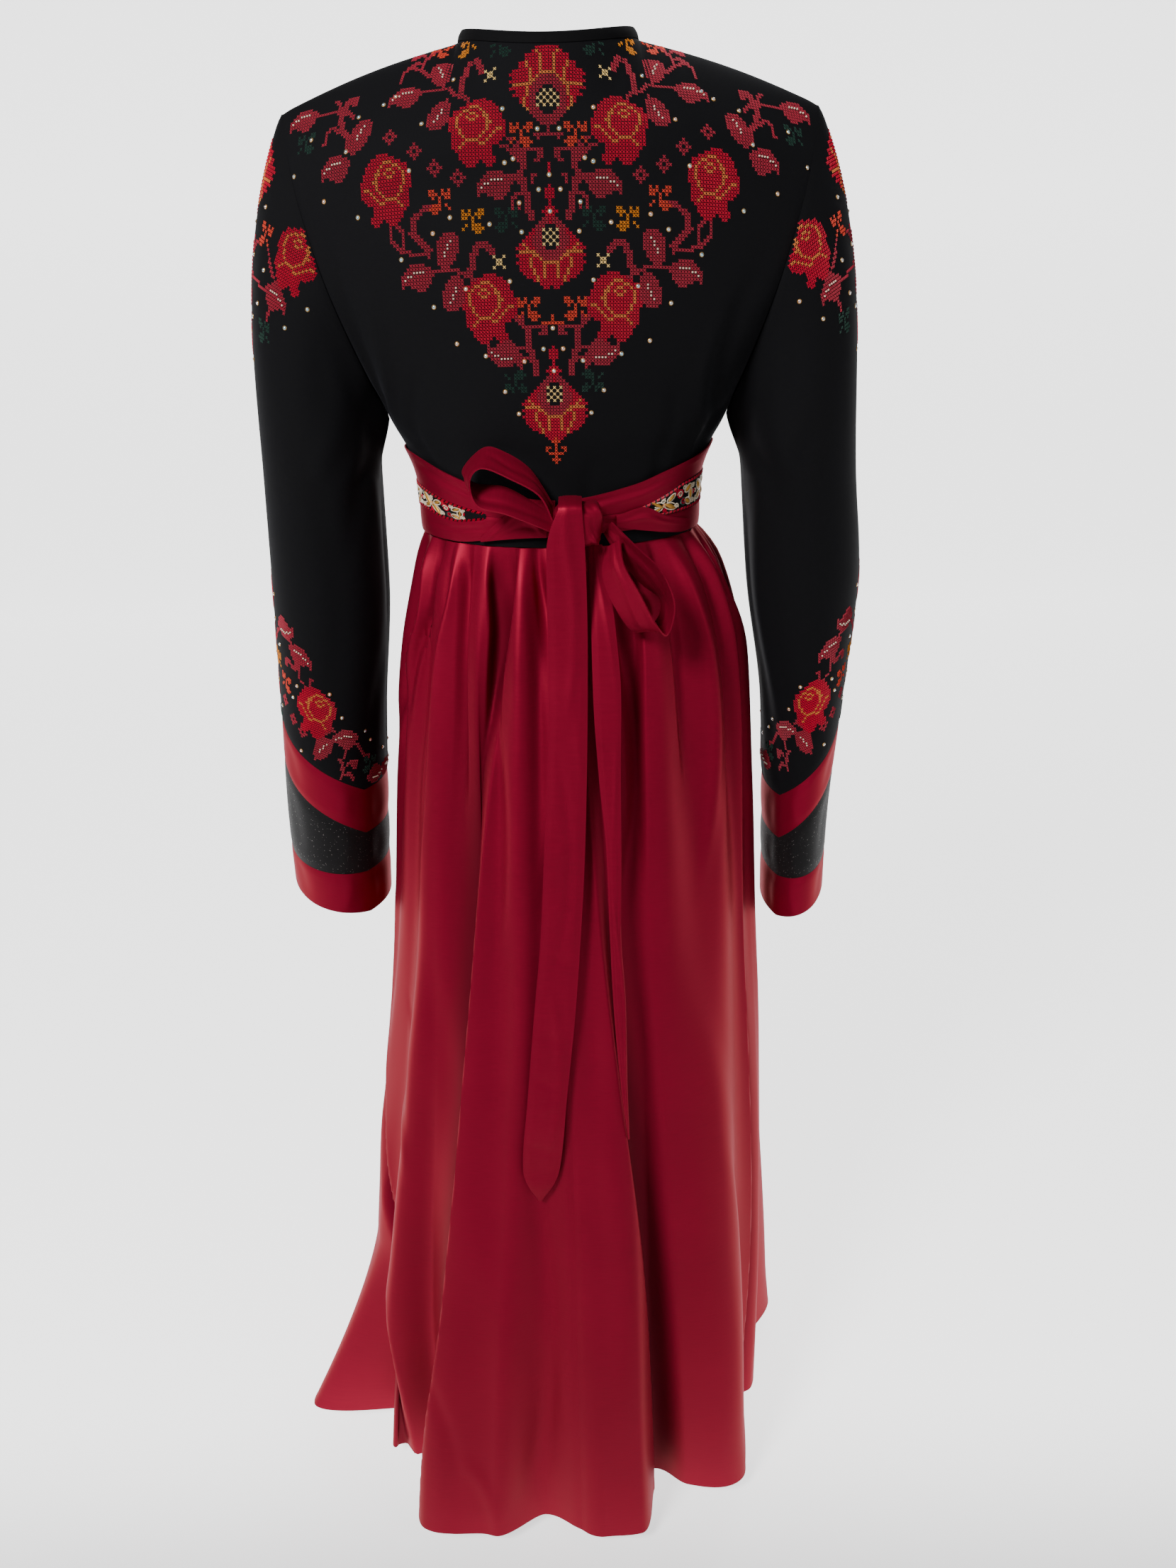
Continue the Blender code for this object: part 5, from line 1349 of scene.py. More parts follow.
HALF_CHARTS = {
    "fan": """RRR......... RRRR........ RRRGR....... RRGRRRR..... RRGRRRR..... RRGRRRGRR... RRGRRRGRR...
        RRGRRGRRRRR. GGGRRGRRRRRR DDDGRGRRRRR. DDDDGGRRRRRR DDDDDGGGGGG. ..DDDRGRRRRR .C.DDDGRRR..
        C.C.DDGRRRR. .C.CDDRGR... C.C.DDRGR... .C.CDDRG.... ...DDDG..... ..DDDD...... DDDDD.......
        DDDD........ DDD......... D........... D........... D...........""",
    "small_fan": """.RR........ RRRR....... RRRRGR..... RRGRGRRR... RRGRRGRRR.. RRGRRGRRRR. RRGRRRGRRR.
        GGGRRRGRRRR DDDGRRGRRR. DDDDGGRRRRR DDDDDGGGGG. ..DDDRRGRRR C.CDDDRRGR. .C.DDDRRR.. C.CDDDRR...
        .C.DDRR.... C.CDDR..... ..DDD...... DDDD....... DDD........ .D.........""",
}
CHARTS = {
    "rose": """......RRRR....... ....RRRRRRRR..... ...RRRRRGGGRRR... ..RRRRRGRRRGGRRR. ..RRRRGRRGGRRGRR.
        .RRRRGGRGRRGRRGRR .RRRRGRRRGGRRRGRR RRRRGGRRRRRRRRGRR RRRRRGRRRRRRRRGRR RGGRRGRRRRRRRGRRR
        RRRGRRGRRRRRRGRR. RRRRGRRGRRRRGRRR. .RRRRGRRGGGGRRRR. ..RRRRGGRRRRGRRR. ....RRRRRRRRRGRR.
        ....RRRRRRRRRRR.. ....RRRRRRRRRR... ...RRRRRRRRRRR... ...RRRR.RRRRR.... ....RR...RRR.....""",
    "leaf_flat": """...DDDDD... .DDDDDDDD.. DDDBBBBDDD. DDDDDDDBBDD .DDDDDDDDBD .DDDDDDDDDD ..DDDDDD..D
        ...DDD.....""",
    "leaf_tall": "..DDDD. .DDDDDD DDDDBDD DDDBDDD DDDBDDD DDBDDDD DDBDDD. DDDDDD. DDDDD.. .DDD... .D.....",
    "sprig": "OO..O.O OOO.OOO .O.O.OO ...O... .OOO.O. OOOO..O .OO....",
    "square": "..D.. .DDD. DD.DD .DDD. ..D..",
    "antler": "DD...DDDD .DD.DDDDD ..D.D.DDD ..DD...DD ..DD..... ...D.DD.. ...DDDDD. ...D...DD ...D....D",
    "tip": "...O... ..OOO.. ...O... OO.O.OO O..O..O .OOOOO. ...O... ..OOO.. ...O...",
    "pendant": "..R.. .RRR. .RRR. .RRR. ..R.. ..R.. .RRR. RRRRR .RRR. ..R.. ..R..",
    "bud": "C..C .CC. .CC. C..C",
}

MOTIF = "chart col row flip colour"     # in cells; flip turns it over, colour gives it one thread
STEM = "colour wide points"

BACK_MOTIFS = table(MOTIF,
    ("fan", 0, 12.5), ("small_fan", 0, 57, "y"), ("small_fan", 0, 102, "y"), ("tip", 0, 115.5),
    ("pendant", 0, 44), ("pendant", 0, 89), ("sprig", 8.4, 24.7), ("sprig", 33, 41.5, "x"),
    ("sprig", 6.9, 72.5), ("sprig", 38, -10.2), ("sprig", 23.3, 47.7, "", "Y"),
    ("sprig", 25.9, -5.6, "x", "Y"), ("sprig", 13, 48.4, "x", "E"), ("sprig", 79, 18.7, "", "E"),
    ("sprig", 12, 93.5, "y", "E"), ("sprig", 14.1, -1.2, "", "E"), ("bud", 17, 6.7), ("bud", 15.7, 59.3),
    ("rose", 21.4, 23.9), ("rose", 50.2, 37.2, "x"), ("rose", 19.1, 72.2), ("leaf_tall", 35.2, 1.8),
    ("leaf_flat", 45.4, 9.3), ("leaf_tall", 33.2, 16.8, "y"), ("leaf_flat", 15.6, 38.2),
    ("leaf_flat", 66.6, 29.8), ("leaf_tall", 57.8, 20.5, "x"), ("leaf_flat", 81.2, 10.2),
    ("leaf_tall", 30.8, 55.5, "x"), ("leaf_flat", 41, 62.5), ("leaf_tall", 30.1, 67.1, "y"),
    ("leaf_flat", 14.8, 85, "y"), ("square", 47.6, 22.7), ("square", 40.2, 28.1), ("square", 33.5, 32.7),
    ("square", 26.8, 36.4), ("antler", 43, -7), ("antler", 66, 10, "x"))
BACK_STEMS = table(STEM,
    ("D", 2, ((2.6, 31.5), (1.5, 28.5), (7, 28.5), (7.2, 33), (7.6, 35), (8, 37.5), (6.6, 40), (6.2, 43),
    (5.5, 46), (5.3, 48))), ("D", 1, ((7.8, 33), (9.3, 31), (9.3, 29), (8.6, 27))), ("D", 1, ((9.3, 31),
    (12, 28.5), (13.8, 27.5))), ("D", 1, ((0, 25), (4.3, 25))), ("D", 1, ((2.9, 25), (2.9, 26.3))),
    ("D", 1, ((9.3, 29), (11.5, 26))), ("D", 1, ((3.5, 36), (5, 36), (5, 38))), ("D", 1, ((6.6, 37),
    (9.5, 36.7), (11, 36))), ("D", 1, ((7, 41), (10, 41.5), (11, 43), (11, 45), (9.5, 45), (9, 43.5))),
    ("R", 1, ((0, 33), (0, 36))), ("O", 1, ((0, 75), (0, 77))), ("O", 1, ((0, 77), (3, 77))),
    ("D", 1, ((31.8, 8), (39.5, 8))), ("D", 1, ((31.8, 8), (28.5, 10.5), (25.5, 12), (24, 13.5))),
    ("D", 2, ((25.5, 11), (25.8, 7), (25.2, 3), (24, 0.5), (22, 0), (20.5, 2.5), (19.5, 4.5))),
    ("D", 1, ((38.5, 1.5), (43, -2), (46, -4), (48, -1), (48, 3))), ("D", 2, ((59.5, 26), (61.5, 24),
    (62.5, 20), (65, 17), (66, 13), (65, 9), (63.5, 6))), ("D", 1, ((66.5, 12), (69, 9.5), (76, 9.5))),
    ("D", 1, ((66, 18), (69, 15.5), (71, 18), (71.5, 21))), ("D", 1, ((28.3, 61), (36, 61.5))),
    ("D", 1, ((28.3, 61), (24, 63.5), (22, 65), (20.5, 66.5))), ("D", 2, ((24, 63), (23, 59), (22, 55),
    (20, 54), (18, 55.5), (16.8, 57))), ("D", 1, ((48.6, 46), (49, 51), (46.2, 54.6), (41, 56),
    (36.5, 56.5))), ("D", 2, ((34.5, 43), (37, 43.5), (41, 46), (41.5, 50), (38.6, 53), (36, 55))),
    ("D", 1, ((47, 47), (44.5, 50), (44.5, 54))), ("D", 2, ((2.6, 80), (1.5, 77.5), (7, 77.5), (7.2, 82),
    (6.5, 85), (5.5, 88), (5, 92))), ("D", 1, ((8, 79), (9, 77), (8.5, 74.5))), ("D", 1, ((9, 77),
    (12, 74.5))), ("D", 1, ((7, 84), (10.5, 84.5))), ("D", 1, ((7, 87), (9.5, 87.5), (10.5, 89),
    (9.5, 90.5))))
BACK_STONES = (
    (3.2, 23.5), (13.5, 17.5), (10.5, 31.5), (0, 36), (3.2, 40), (13, 32.5), (0, 46), (9, 43.5), (18, 49),
    (8.5, 51.5), (12.5, 65), (21, 86), (52, 11), (60, 14), (42, 33), (35.5, 50.5), (30, 46.5), (46, 57),
    (26, 66.5), (36.5, 71), (30, 82), (72, 38), (60, 44), (77, 18), (63, 25), (84, 28), (0, 78.5), (3, 84.5),
    (9, 88), (11.5, 104), (15.5, 97), (0, 91), (48.5, 8.5), (30, 5), (38, 20),
)
SLEEVE_MOTIFS = table(MOTIF,
    ("fan", 0, 20.5), ("small_fan", 0, 62, "y"), ("tip", 0, 76), ("sprig", 18, 33),
    ("rose", 34.2, 33.6, "x"), ("leaf_flat", 30.2, 47.6), ("sprig", 24.6, 58.7, "", "E"),
    ("pendant", 0, 49), ("tip", 0, 135, "y"), ("fan", 0, 153), ("small_fan", 0, 188, "y"),
    ("pendant", 0, 175), ("leaf_flat", 22.5, 158.3, "y"), ("leaf_flat", 31.1, 165.6),
    ("sprig", 14.7, 175.4, "", "Y"), ("sprig", 22.6, 180.8, "x"), ("square", 22.3, 188.7),
    ("square", 28.9, 192.5), ("square", 35.2, 195.3), ("rose", 39.1, 184), ("leaf_flat", 53, 191.2, "x"),
    ("leaf_tall", 44.8, 197.9), ("antler", 55.9, 203.5), ("sprig", 67.3, 202.3, "", "E"),
    ("leaf_flat", 71.6, 206, "y"), ("leaf_flat", 82, 206), ("sprig", 14, 200, "y", "E"))
SLEEVE_STEMS = table(STEM,
    ("D", 2, ((2.6, 39.5), (1.5, 36.5), (7, 36.5), (7.2, 41), (8, 45), (6.4, 48), (5.5, 52))),
    ("D", 1, ((7.8, 41), (9.5, 38.5), (9, 35))), ("D", 1, ((9.5, 38.5), (13.5, 35.5))), ("D", 1, ((8, 45),
    (16, 46), (24.5, 47))), ("D", 1, ((7, 49), (10.5, 50), (11, 53), (9.5, 53.5))), ("D", 1, ((30, 43.5),
    (26.5, 41), (22, 36))), ("D", 1, ((28, 51.5), (26.5, 55))), ("D", 2, ((2.6, 168), (1.5, 165), (7, 165),
    (7.2, 170), (8, 174), (6.4, 177), (5.5, 180))), ("D", 1, ((7.8, 169), (12, 168.5), (17.5, 162))),
    ("D", 1, ((26, 161), (27.5, 164))), ("D", 2, ((29.5, 169.5), (27.5, 172), (24.6, 169.6),
    (22.5, 172.5))), ("D", 1, ((30.3, 169), (31.5, 174.7), (35.9, 176.3), (36.5, 172))),
    ("D", 1, ((44, 192), (47, 188), (49, 190))), ("D", 1, ((54.3, 195), (54.3, 199))),
    ("D", 1, ((58, 192.5), (62, 197), (66, 198.5))))
SLEEVE_STONES = (
    (3.2, 31.5), (13, 26), (10.5, 40), (3.2, 45.5), (22, 42), (20, 52), (14, 57), (36, 54), (12, 70),
    (44, 44),
    (0, 131), (14, 150), (13, 160), (3.2, 171), (0, 166), (18, 168), (30, 178), (28, 184), (12, 186),
    (18, 194), (44, 175), (50, 183), (62, 188), (36, 203), (66, 192), (76, 197), (9, 176),
)


def chart_rows(name):
    """A chart's rows from its top; a half chart is mirrored about its first column."""
    if name in CHARTS:
        return CHARTS[name].split()
    return [row[:0:-1] + row for row in HALF_CHARTS[name].split()]


def nearest_cell(place):
    return math.floor(place + 0.5)


def chart_cells(motifs, stems):
    """Every stitch of a symmetrical pattern: its cell, and the letter of its thread."""
    cells = {}
    for stem in stems:
        for (col_0, row_0), (col_1, row_1) in zip(stem.points, stem.points[1:]):
            steps = int(STEM_STEPS * math.hypot(col_1 - col_0, row_1 - row_0)) + 1
            for n in range(steps + 1):
                col, row = mix(col_0, col_1, n / steps), mix(row_0, row_1, n / steps)
                for shift in range(stem.wide):
                    cells[nearest_cell(col) + shift, nearest_cell(row)] = stem.colour
    for motif in motifs:
        rows = chart_rows(motif.chart)
        for y, line in enumerate(rows):
            for x, code in enumerate(line):
                if code != ".":
                    col = (x - (len(line) - 1) / 2) * (-1 if "x" in motif.flip else 1)
                    row = (y - (len(rows) - 1) / 2) * (-1 if "y" in motif.flip else 1)
                    cell = nearest_cell(motif.col + col), nearest_cell(motif.row + row)
                    cells[cell] = motif.colour or code
    for (col, row), code in list(cells.items()):
        cells.setdefault((-col, row), code)
    return cells


def on_cloth(pattern, s, t, reach):
    """Which points of a pattern lie on its cloth with room around them."""
    inside = np.ones(len(s), bool)
    for ds, dt in ((-reach, -reach), (reach, -reach), (reach, reach), (-reach, reach)):
        inside &= pattern.find(s + ds, t + dt)[2]
    return inside


def embroider(name, pattern, motifs, stems, stones, threads):
    """Cross-stitches, beads and stones over one cloth."""
    cells = chart_cells(motifs, stems)
    keys = np.array(sorted(cells), float) * CELL
    codes = np.array([cells[key] for key in sorted(cells)])
    keep = on_cloth(pattern, keys[:, 0], keys[:, 1], CELL * 0.5)
    keys, codes = keys[keep], codes[keep]
    point, across, down, normal, found = pattern.frames(keys[:, 0], keys[:, 1], -STITCH_SINK)
    codes = codes[found]
    slots = np.array([THREADS.find("D" if code == BEADED else code) for code in codes])
    work = Scatter(*threads)
    for turn, height in ((-1.0, LOWER_HEIGHT), (1.0, UPPER_HEIGHT)):
        run = unit(across + down * turn)
        size = (CELL * BAR_HALF_LENGTH, CELL * BAR_HALF_WIDTH, height)
        work.add(THREAD_BAR, point, (run, np.cross(normal, run), normal), size, slots)
    beaded = codes == BEADED
    if beaded.any():
        raised = point[beaded] + normal[beaded] * LOWER_HEIGHT
        work.add(BEAD, raised, (across[beaded], np.cross(normal, across)[beaded], normal[beaded]),
                 BEAD_SIZE, len(THREADS))
    both = [(side * col, row) for col, row in stones for side in ((-1, 1) if col else (1,))]
    places = np.array(both) * CELL
    places = places[on_cloth(pattern, places[:, 0], places[:, 1], CELL)]
    point, across, down, normal, _ = pattern.frames(places[:, 0], places[:, 1], -STITCH_SINK)
    axes = (across, np.cross(normal, across), normal)
    work.add(STONE_RIM, point, axes, STONE_SIZE, len(THREADS) + 2)
    work.add(STONE, point, axes, STONE_SIZE, len(THREADS) + 1)
    return work.settle(name, "black_crepe_embroidered")


# ---------------------------------------------------------------------------- belt ornament
REPEAT = 0.064              # length of one repeat along the belt
STRIP_WIDTH = 0.029         # the strip's full width, which the ornament is drawn for
STRIP_STEPS = 721           # points at which its length is measured
NARROW = 0.42               # the strip's share of its full width below which leaves and beads are left out
BEAD_SINK, LEAF_SINK = 0.0001, 0.0002
CORD_STEP = 0.0017          # spacing of the rungs of the rope borders
CHAIN_STEP = 0.00135        # spacing of the beads of an outline
CHAIN_BEAD = (0.00066, 0.00066, 0.0010)
LEAF_SIZE = (0.0078, 0.0031, 0.0018)
SMALL_LEAF_SIZE = (0.0049, 0.0022, 0.0015)
LEAF_POINT = 0.35           # how much an outline draws in towards a leaf's points
LEAF_RING_STEPS, SCROLL_STEPS = 41, 60
RING_GAP = 0.0009           # from a leaf to the beads round it
SCROLL_CLOSE = 0.72         # share of its radius that a scroll loses by its end
SCROLL_CROWD = 0.92         # its beads' spacing, as a share of an outline's
CORD_PLACE = 0.43           # the borders' places either side of the middle, as a share of the width
CORD_SLANT = 1.1
CORD_SIZE = (0.0014, 0.0007, 0.0011)
RED, CREAM, GOLD, BLACK = 0, 2, 4, 5        # places of some of the ornament's finishes
BELT_LEAVES = table("along across turn small",
    (0.0097, -0.0036, 34, False), (0.0097, 0.005, -30, True), (0.0246, 0.0043, 30, False),
    (0.0257, -0.0053, -28, True), (0.0549, 0.0, 90, True), (0.0503, 0.0062, 24, True),
    (0.0503, -0.0062, -24, True))
BELT_SCROLLS = table("along across radius turns start hand colour",
    (0.0377, -0.0034, 0.0054, 1.35, 200, 1, 0), (0.0377, -0.0034, 0.0035, 1.15, 200, 1, 2),
    (0.0429, 0.0043, 0.0049, 1.3, 20, 1, 1), (0.0429, 0.0043, 0.0032, 1.1, 20, 1, 0),
    (0.0171, 0.0, 0.0026, 1.0, 90, -1, 3), (0.0606, 0.0, 0.0028, 1.0, 0, -1, 0),
    (0.0165, -0.0066, 0.0032, 1.3, 300, -1, 2), (0.018, 0.0072, 0.0028, 1.2, 60, 1, 0),
    (0.0325, 0.007, 0.003, 1.3, 30, -1, 2), (0.0335, -0.0092, 0.0022, 1.1, 200, 1, 0),
    (0.044, -0.0088, 0.0026, 1.2, 330, 1, 2), (0.003, 0.0074, 0.003, 1.25, 120, 1, 2),
    (0.003, -0.008, 0.0026, 1.2, 240, -1, 1), (0.059, 0.0076, 0.0028, 1.2, 20, -1, 2),
    (0.059, -0.0074, 0.0028, 1.2, 340, 1, 2), (0.001, 0.0, 0.0024, 1.1, 180, 1, 2))


class Strip:
    """The embroidered strip's face, found by metres along the belt and metres off its middle."""

    def __init__(self, cloth):
        self.cloth = cloth
        self.bearing = np.linspace(*cloth.u_range, STRIP_STEPS)
        middle = cloth.surface(self.bearing, np.full(STRIP_STEPS, 0.5))
        self.length = np.concatenate(([0.0], np.cumsum(np.linalg.norm(np.diff(middle, axis=0), axis=-1))))

    def frames(self, along, across, lift):
        bearing = np.interp(along, self.length, self.bearing)
        share = np.clip(0.5 + across / STRIP_WIDTH, 0.0, 1.0)
        point, normal = self.cloth.frame_at(bearing, share)
        ahead = self.cloth.frame_at(np.interp(along + STEP, self.length, self.bearing), share)[0]
        run = unit(ahead - point)
        run = unit(run - normal * np.sum(run * normal, -1, keepdims=True))
        width = belt_edge("strip_top", 0.0)(bearing) - belt_edge("strip_bottom", 0.0)(bearing)
        return point + normal * lift, run, np.cross(normal, run), normal, width / STRIP_WIDTH


def chain(corners, step):
    """Evenly spaced points along a path."""
    corners = np.asarray(corners, float)
    lengths = np.concatenate(([0.0], np.cumsum(np.linalg.norm(np.diff(corners, axis=0), axis=-1))))
    places = np.arange(0.0, lengths[-1], step)
    return np.stack([np.interp(places, lengths, corners[:, n]) for n in range(2)], -1)


def turned_by(points, degrees):
    cos, sin = math.cos(math.radians(degrees)), math.sin(math.radians(degrees))
    return points @ np.array(((cos, sin), (-sin, cos)))


def belt_beads():
    """The beads of one repeat of the ornament: (along, across, colour) rows."""
    rows = []
    oval = np.linspace(0.0, math.tau, LEAF_RING_STEPS)
    pinch = 1.0 - LEAF_POINT * np.cos(oval) ** 4
    for leaf in BELT_LEAVES:
        size = SMALL_LEAF_SIZE if leaf.small else LEAF_SIZE
        ring = ((size[0] + RING_GAP) * np.cos(oval), (size[1] + RING_GAP) * np.sin(oval) * pinch)
        outline = turned_by(chain(np.stack(ring, -1), CHAIN_STEP), leaf.turn) + (leaf.along, leaf.across)
        rows += [(*point, CREAM) for point in outline]
    for scroll in BELT_SCROLLS:
        share = np.linspace(0.0, 1.0, SCROLL_STEPS)
        angle = np.radians(scroll.start) + scroll.hand * share * scroll.turns * math.tau
        radius = scroll.radius * (1.0 - SCROLL_CLOSE * share)
        curl = np.stack((radius * np.cos(angle), radius * np.sin(angle)), -1) + (scroll.along, scroll.across)
        rows += [(*point, scroll.colour) for point in chain(curl, CHAIN_STEP * SCROLL_CROWD)]
    return np.array(rows)


def belt_ornament(finishes):
    """Gold leaves outlined with beads, scrolls of coloured beads and two rope borders."""
    strip = Strip(belt_strip("belt_embroidered_strip"))
    work = Scatter(*finishes)
    total = strip.length[-1]
    repeats = int(total / REPEAT)
    start = 0.5 * (total - repeats * REPEAT)
    beads = belt_beads()
    for n in range(repeats):
        shift = start + n * REPEAT
        point, run, side, normal, squash = strip.frames(beads[:, 0] + shift, beads[:, 1], -BEAD_SINK)
        fits = squash > NARROW
        if fits.any():
            axes = (run[fits], side[fits], normal[fits])
            work.add(BEAD, point[fits], axes, CHAIN_BEAD, beads[fits, 2].astype(int))
        for leaf in BELT_LEAVES:
            point, run, side, normal, squash = strip.frames(
                np.array([leaf.along + shift]), np.array([leaf.across]), -LEAF_SINK)
            if squash[0] > NARROW:
                cos, sin = math.cos(math.radians(leaf.turn)), -math.sin(math.radians(leaf.turn))
                axes = (run * cos + side * sin, side * cos - run * sin, normal)
                size = np.array(SMALL_LEAF_SIZE if leaf.small else LEAF_SIZE)
                work.add(PETAL, point, axes, size * (1.0, squash[0], 1.0), GOLD)
    along = np.arange(CORD_STEP, total - CORD_STEP, CORD_STEP)
    colours = np.where(np.arange(len(along)) % 3 == 2, BLACK, RED)
    for edge in (-CORD_PLACE, CORD_PLACE):
        across = np.full(len(along), edge * STRIP_WIDTH)
        point, run, side, normal, _ = strip.frames(along, across, -LEAF_SINK)
        slant = unit(run + side * CORD_SLANT)
        work.add(THREAD_BAR, point, (slant, np.cross(normal, slant), normal), CORD_SIZE, colours)
    return work.settle("belt_ornament", "embroidered_strip")



# ---------------------------------------------------------------------------- settings
def colour_setting(name, description, default):
    return FloatVectorProperty(name=name, description=description, default=default, subtype="COLOR",
                               size=3, min=0.0, max=1.0)


def length_setting(name, description, default):
    return FloatProperty(name=name, description=description, default=default, min=0.0,
                         subtype="DISTANCE", unit="LENGTH", precision=5)


class DRESS_PG_cloth(bpy.types.PropertyGroup):
    """Colours and thicknesses of the cloth"""
    crepe: colour_setting("Black crepe", "Colour of the bodice and the sleeves", (0.0034, 0.0033, 0.0040))
    binding: colour_setting("Neck binding", "Colour of the neck's binding", (0.0025, 0.0024, 0.0028))
    satin: colour_setting("Crimson satin", "Colour of the skirt, belt and cuffs", (0.235, 0.0066, 0.0250))
    sheer: colour_setting("Speckled black", "Colour of the bands above the cuffs", (0.0045, 0.0040, 0.0046))
    wall: length_setting("Cloth thickness", "Thickness of the crepe and the satin", 0.0012)
    ribbon: length_setting("Ribbon thickness", "Thickness of the bow's folded ribbon", 0.0015)


class DRESS_PG_thread(bpy.types.PropertyGroup):
    """Colours of the threads, beads and cords"""
    red: colour_setting("Red thread", "Colour of the flowers", (0.480, 0.0010, 0.0270))
    line: colour_setting("Gold thread", "Colour of the lines inside the flowers", (0.640, 0.185, 0.0450))
    burgundy: colour_setting("Burgundy thread", "Colour of the leaves and the stems", (0.350, 0.0190, 0.0400))
    cream: colour_setting("Cream thread", "Colour of the light stitches", (0.880, 0.560, 0.200))
    orange: colour_setting("Orange thread", "Colour of the bright sprigs", (0.640, 0.0500, 0.0240))
    ochre: colour_setting("Ochre thread", "Colour of the yellow sprigs", (0.600, 0.190, 0.0080))
    green: colour_setting("Green thread", "Colour of the dark sprigs", (0.0110, 0.0370, 0.0260))
    bead: colour_setting("Cream beads", "Colour of the small beads", (0.700, 0.590, 0.430))
    gold: colour_setting("Gold work", "Colour of the belt's leaves and stones' rims", (0.520, 0.260, 0.042))


class DRESS_PG_stage(bpy.types.PropertyGroup):
    """Floor, light and camera"""
    floor: colour_setting("Floor", "Colour of the floor and of what stands behind", (0.80, 0.80, 0.80))
    floor_gap: length_setting("Floor gap", "How far the floor lies below the lowest hem", 0.02)
    key_light: FloatProperty(name="Key light", description="Power of the large light from the upper left",
                             default=110.0, min=0.0, unit="POWER")
    fill_light: FloatProperty(name="Fill light", description="Power of the light from the right",
                              default=10.0, min=0.0, unit="POWER")
    sky: FloatProperty(name="Surround", description="Strength of the even light from all sides",
                       default=0.12, min=0.0)
    glow: FloatProperty(name="Floor glow", description="How much the floor and backdrop glow",
                        default=2.1, min=0.0)
    pitch: FloatProperty(name="Camera pitch", description="How far the camera looks down",
                         default=math.radians(24.5), subtype="ANGLE", unit="ROTATION")
    roll: FloatProperty(name="Camera roll", description="How far the camera leans",
                        default=math.radians(1.0), subtype="ANGLE", unit="ROTATION")
    lens: FloatProperty(name="Lens", description="Focal length over a picture 36 mm high",
                        default=27.04, min=1.0)


SKIRT_ROWS = 111
LIGHTS = (                  # name, size, place and what it is aimed at
    ("key", 0.9, (-1.3, -2.0, 1.4), (0.0, 0.0, -0.6)),
    ("fill", 1.2, (1.9, -1.5, 0.4), (0.0, 0.0, -0.6)),
    ("rim", 1.2, (0.8, 1.6, 1.3), (0.0, 0.0, -0.4)),
)
CAMERA_PLACE = (0.022, -1.135, -0.15)
PICTURE_HEIGHT = 36.0       # millimetres of the camera's picture, along its long side


def finish_named(name, make, *values):
    """The material of a name, made the first time that it is asked for."""
    return bpy.data.materials.get(name) or make(name, *values)


def crepe():
    return finish_named("crepe_cloth", crepe_finish, bpy.context.scene.dress_cloth.crepe, 0.05)


def satin():
    return finish_named("satin_cloth", satin_finish, bpy.context.scene.dress_cloth.satin)


def thread_finishes(thread):
    """Finishes in the order of THREADS, then beads, stones and their rims."""
    names = ("red", "line", "burgundy", "cream", "orange", "ochre", "green")
    made = [finish_named("thread_" + name, thread_finish, getattr(thread, name)) for name in names]
    return (*made, finish_named("bead_cream", bead_finish, thread.bead), finish_named("stones", stone_finish),
            finish_named("gold_work", metal_thread_finish, thread.gold))


# ---------------------------------------------------------------------------- operators
class DRESS_OT_bodice(bpy.types.Operator):
    """Makes the black back and front of the bodice and the binding round its neck"""
    bl_idname = "dress.bodice"
    bl_label = "Bodice"

    def execute(self, context):
        scene = context.scene
        wall = scene.dress_cloth.wall
        for name, back, columns in (("bodice_back", True, 141), ("bodice_front", False, 101)):
            make_cloth(name, bodice_cloth(back), columns, 91, crepe(),
                       wall)
        binding = finish_named("binding_cloth", crepe_finish, scene.dress_cloth.binding, 0.03)
        make_cloth("neck_binding", binding_cloth(), 121, 9, binding, wall, True)
        return {"FINISHED"}


class DRESS_OT_sleeves(bpy.types.Operator):
    """Makes the two long sleeves with their satin and speckled bands and their cuffs"""
    bl_idname = "dress.sleeves"
    bl_label = "Sleeves and cuffs"

    def execute(self, context):
        scene = context.scene
        wall = scene.dress_cloth.wall
        sheer = finish_named("speckled_cloth", speckled_finish, scene.dress_cloth.sheer)
        for side, hand in ((-1, "left"), (1, "right")):
            name = "sleeve_" + hand
            make_cloth(name, sleeve_cloth(side), 97, 121, crepe(),
                       wall, True)
            for band, upper, lower, rows, finish, slot in (
                    ("_band_upper", "sleeve_end", "upper_band_end", 15, satin(), "crimson_satin"),
                    ("_band_black", "upper_band_end", "black_band_end", 21, sheer, "speckled_black"),
                    ("_cuff", "black_band_end", "cuff_end", 13, satin(), "crimson_satin")):
                make_cloth(name + band, band_cloth(side, upper, lower), 97, rows, finish,
                           wall, True)
        return {"FINISHED"}


class DRESS_OT_skirt(bpy.types.Operator):
    """Makes the three gathered panels of the satin skirt"""
    bl_idname = "dress.skirt"
    bl_label = "Skirt"

    def execute(self, context):
        scene = context.scene
        for name, start, end, columns in (("skirt_back_left", -90, 0, 241), ("skirt_back_right", 0, 90, 241),
                                          ("skirt_front", 90, 270, 221)):
            panel = make_cloth(name, skirt_cloth(start, end), columns, SKIRT_ROWS, satin(),
                               scene.dress_cloth.wall)
            # paints shade into the satin's colour in the troughs of the pleats
            paint_fold_shade(panel, start, end, columns, SKIRT_ROWS)
        return {"FINISHED"}


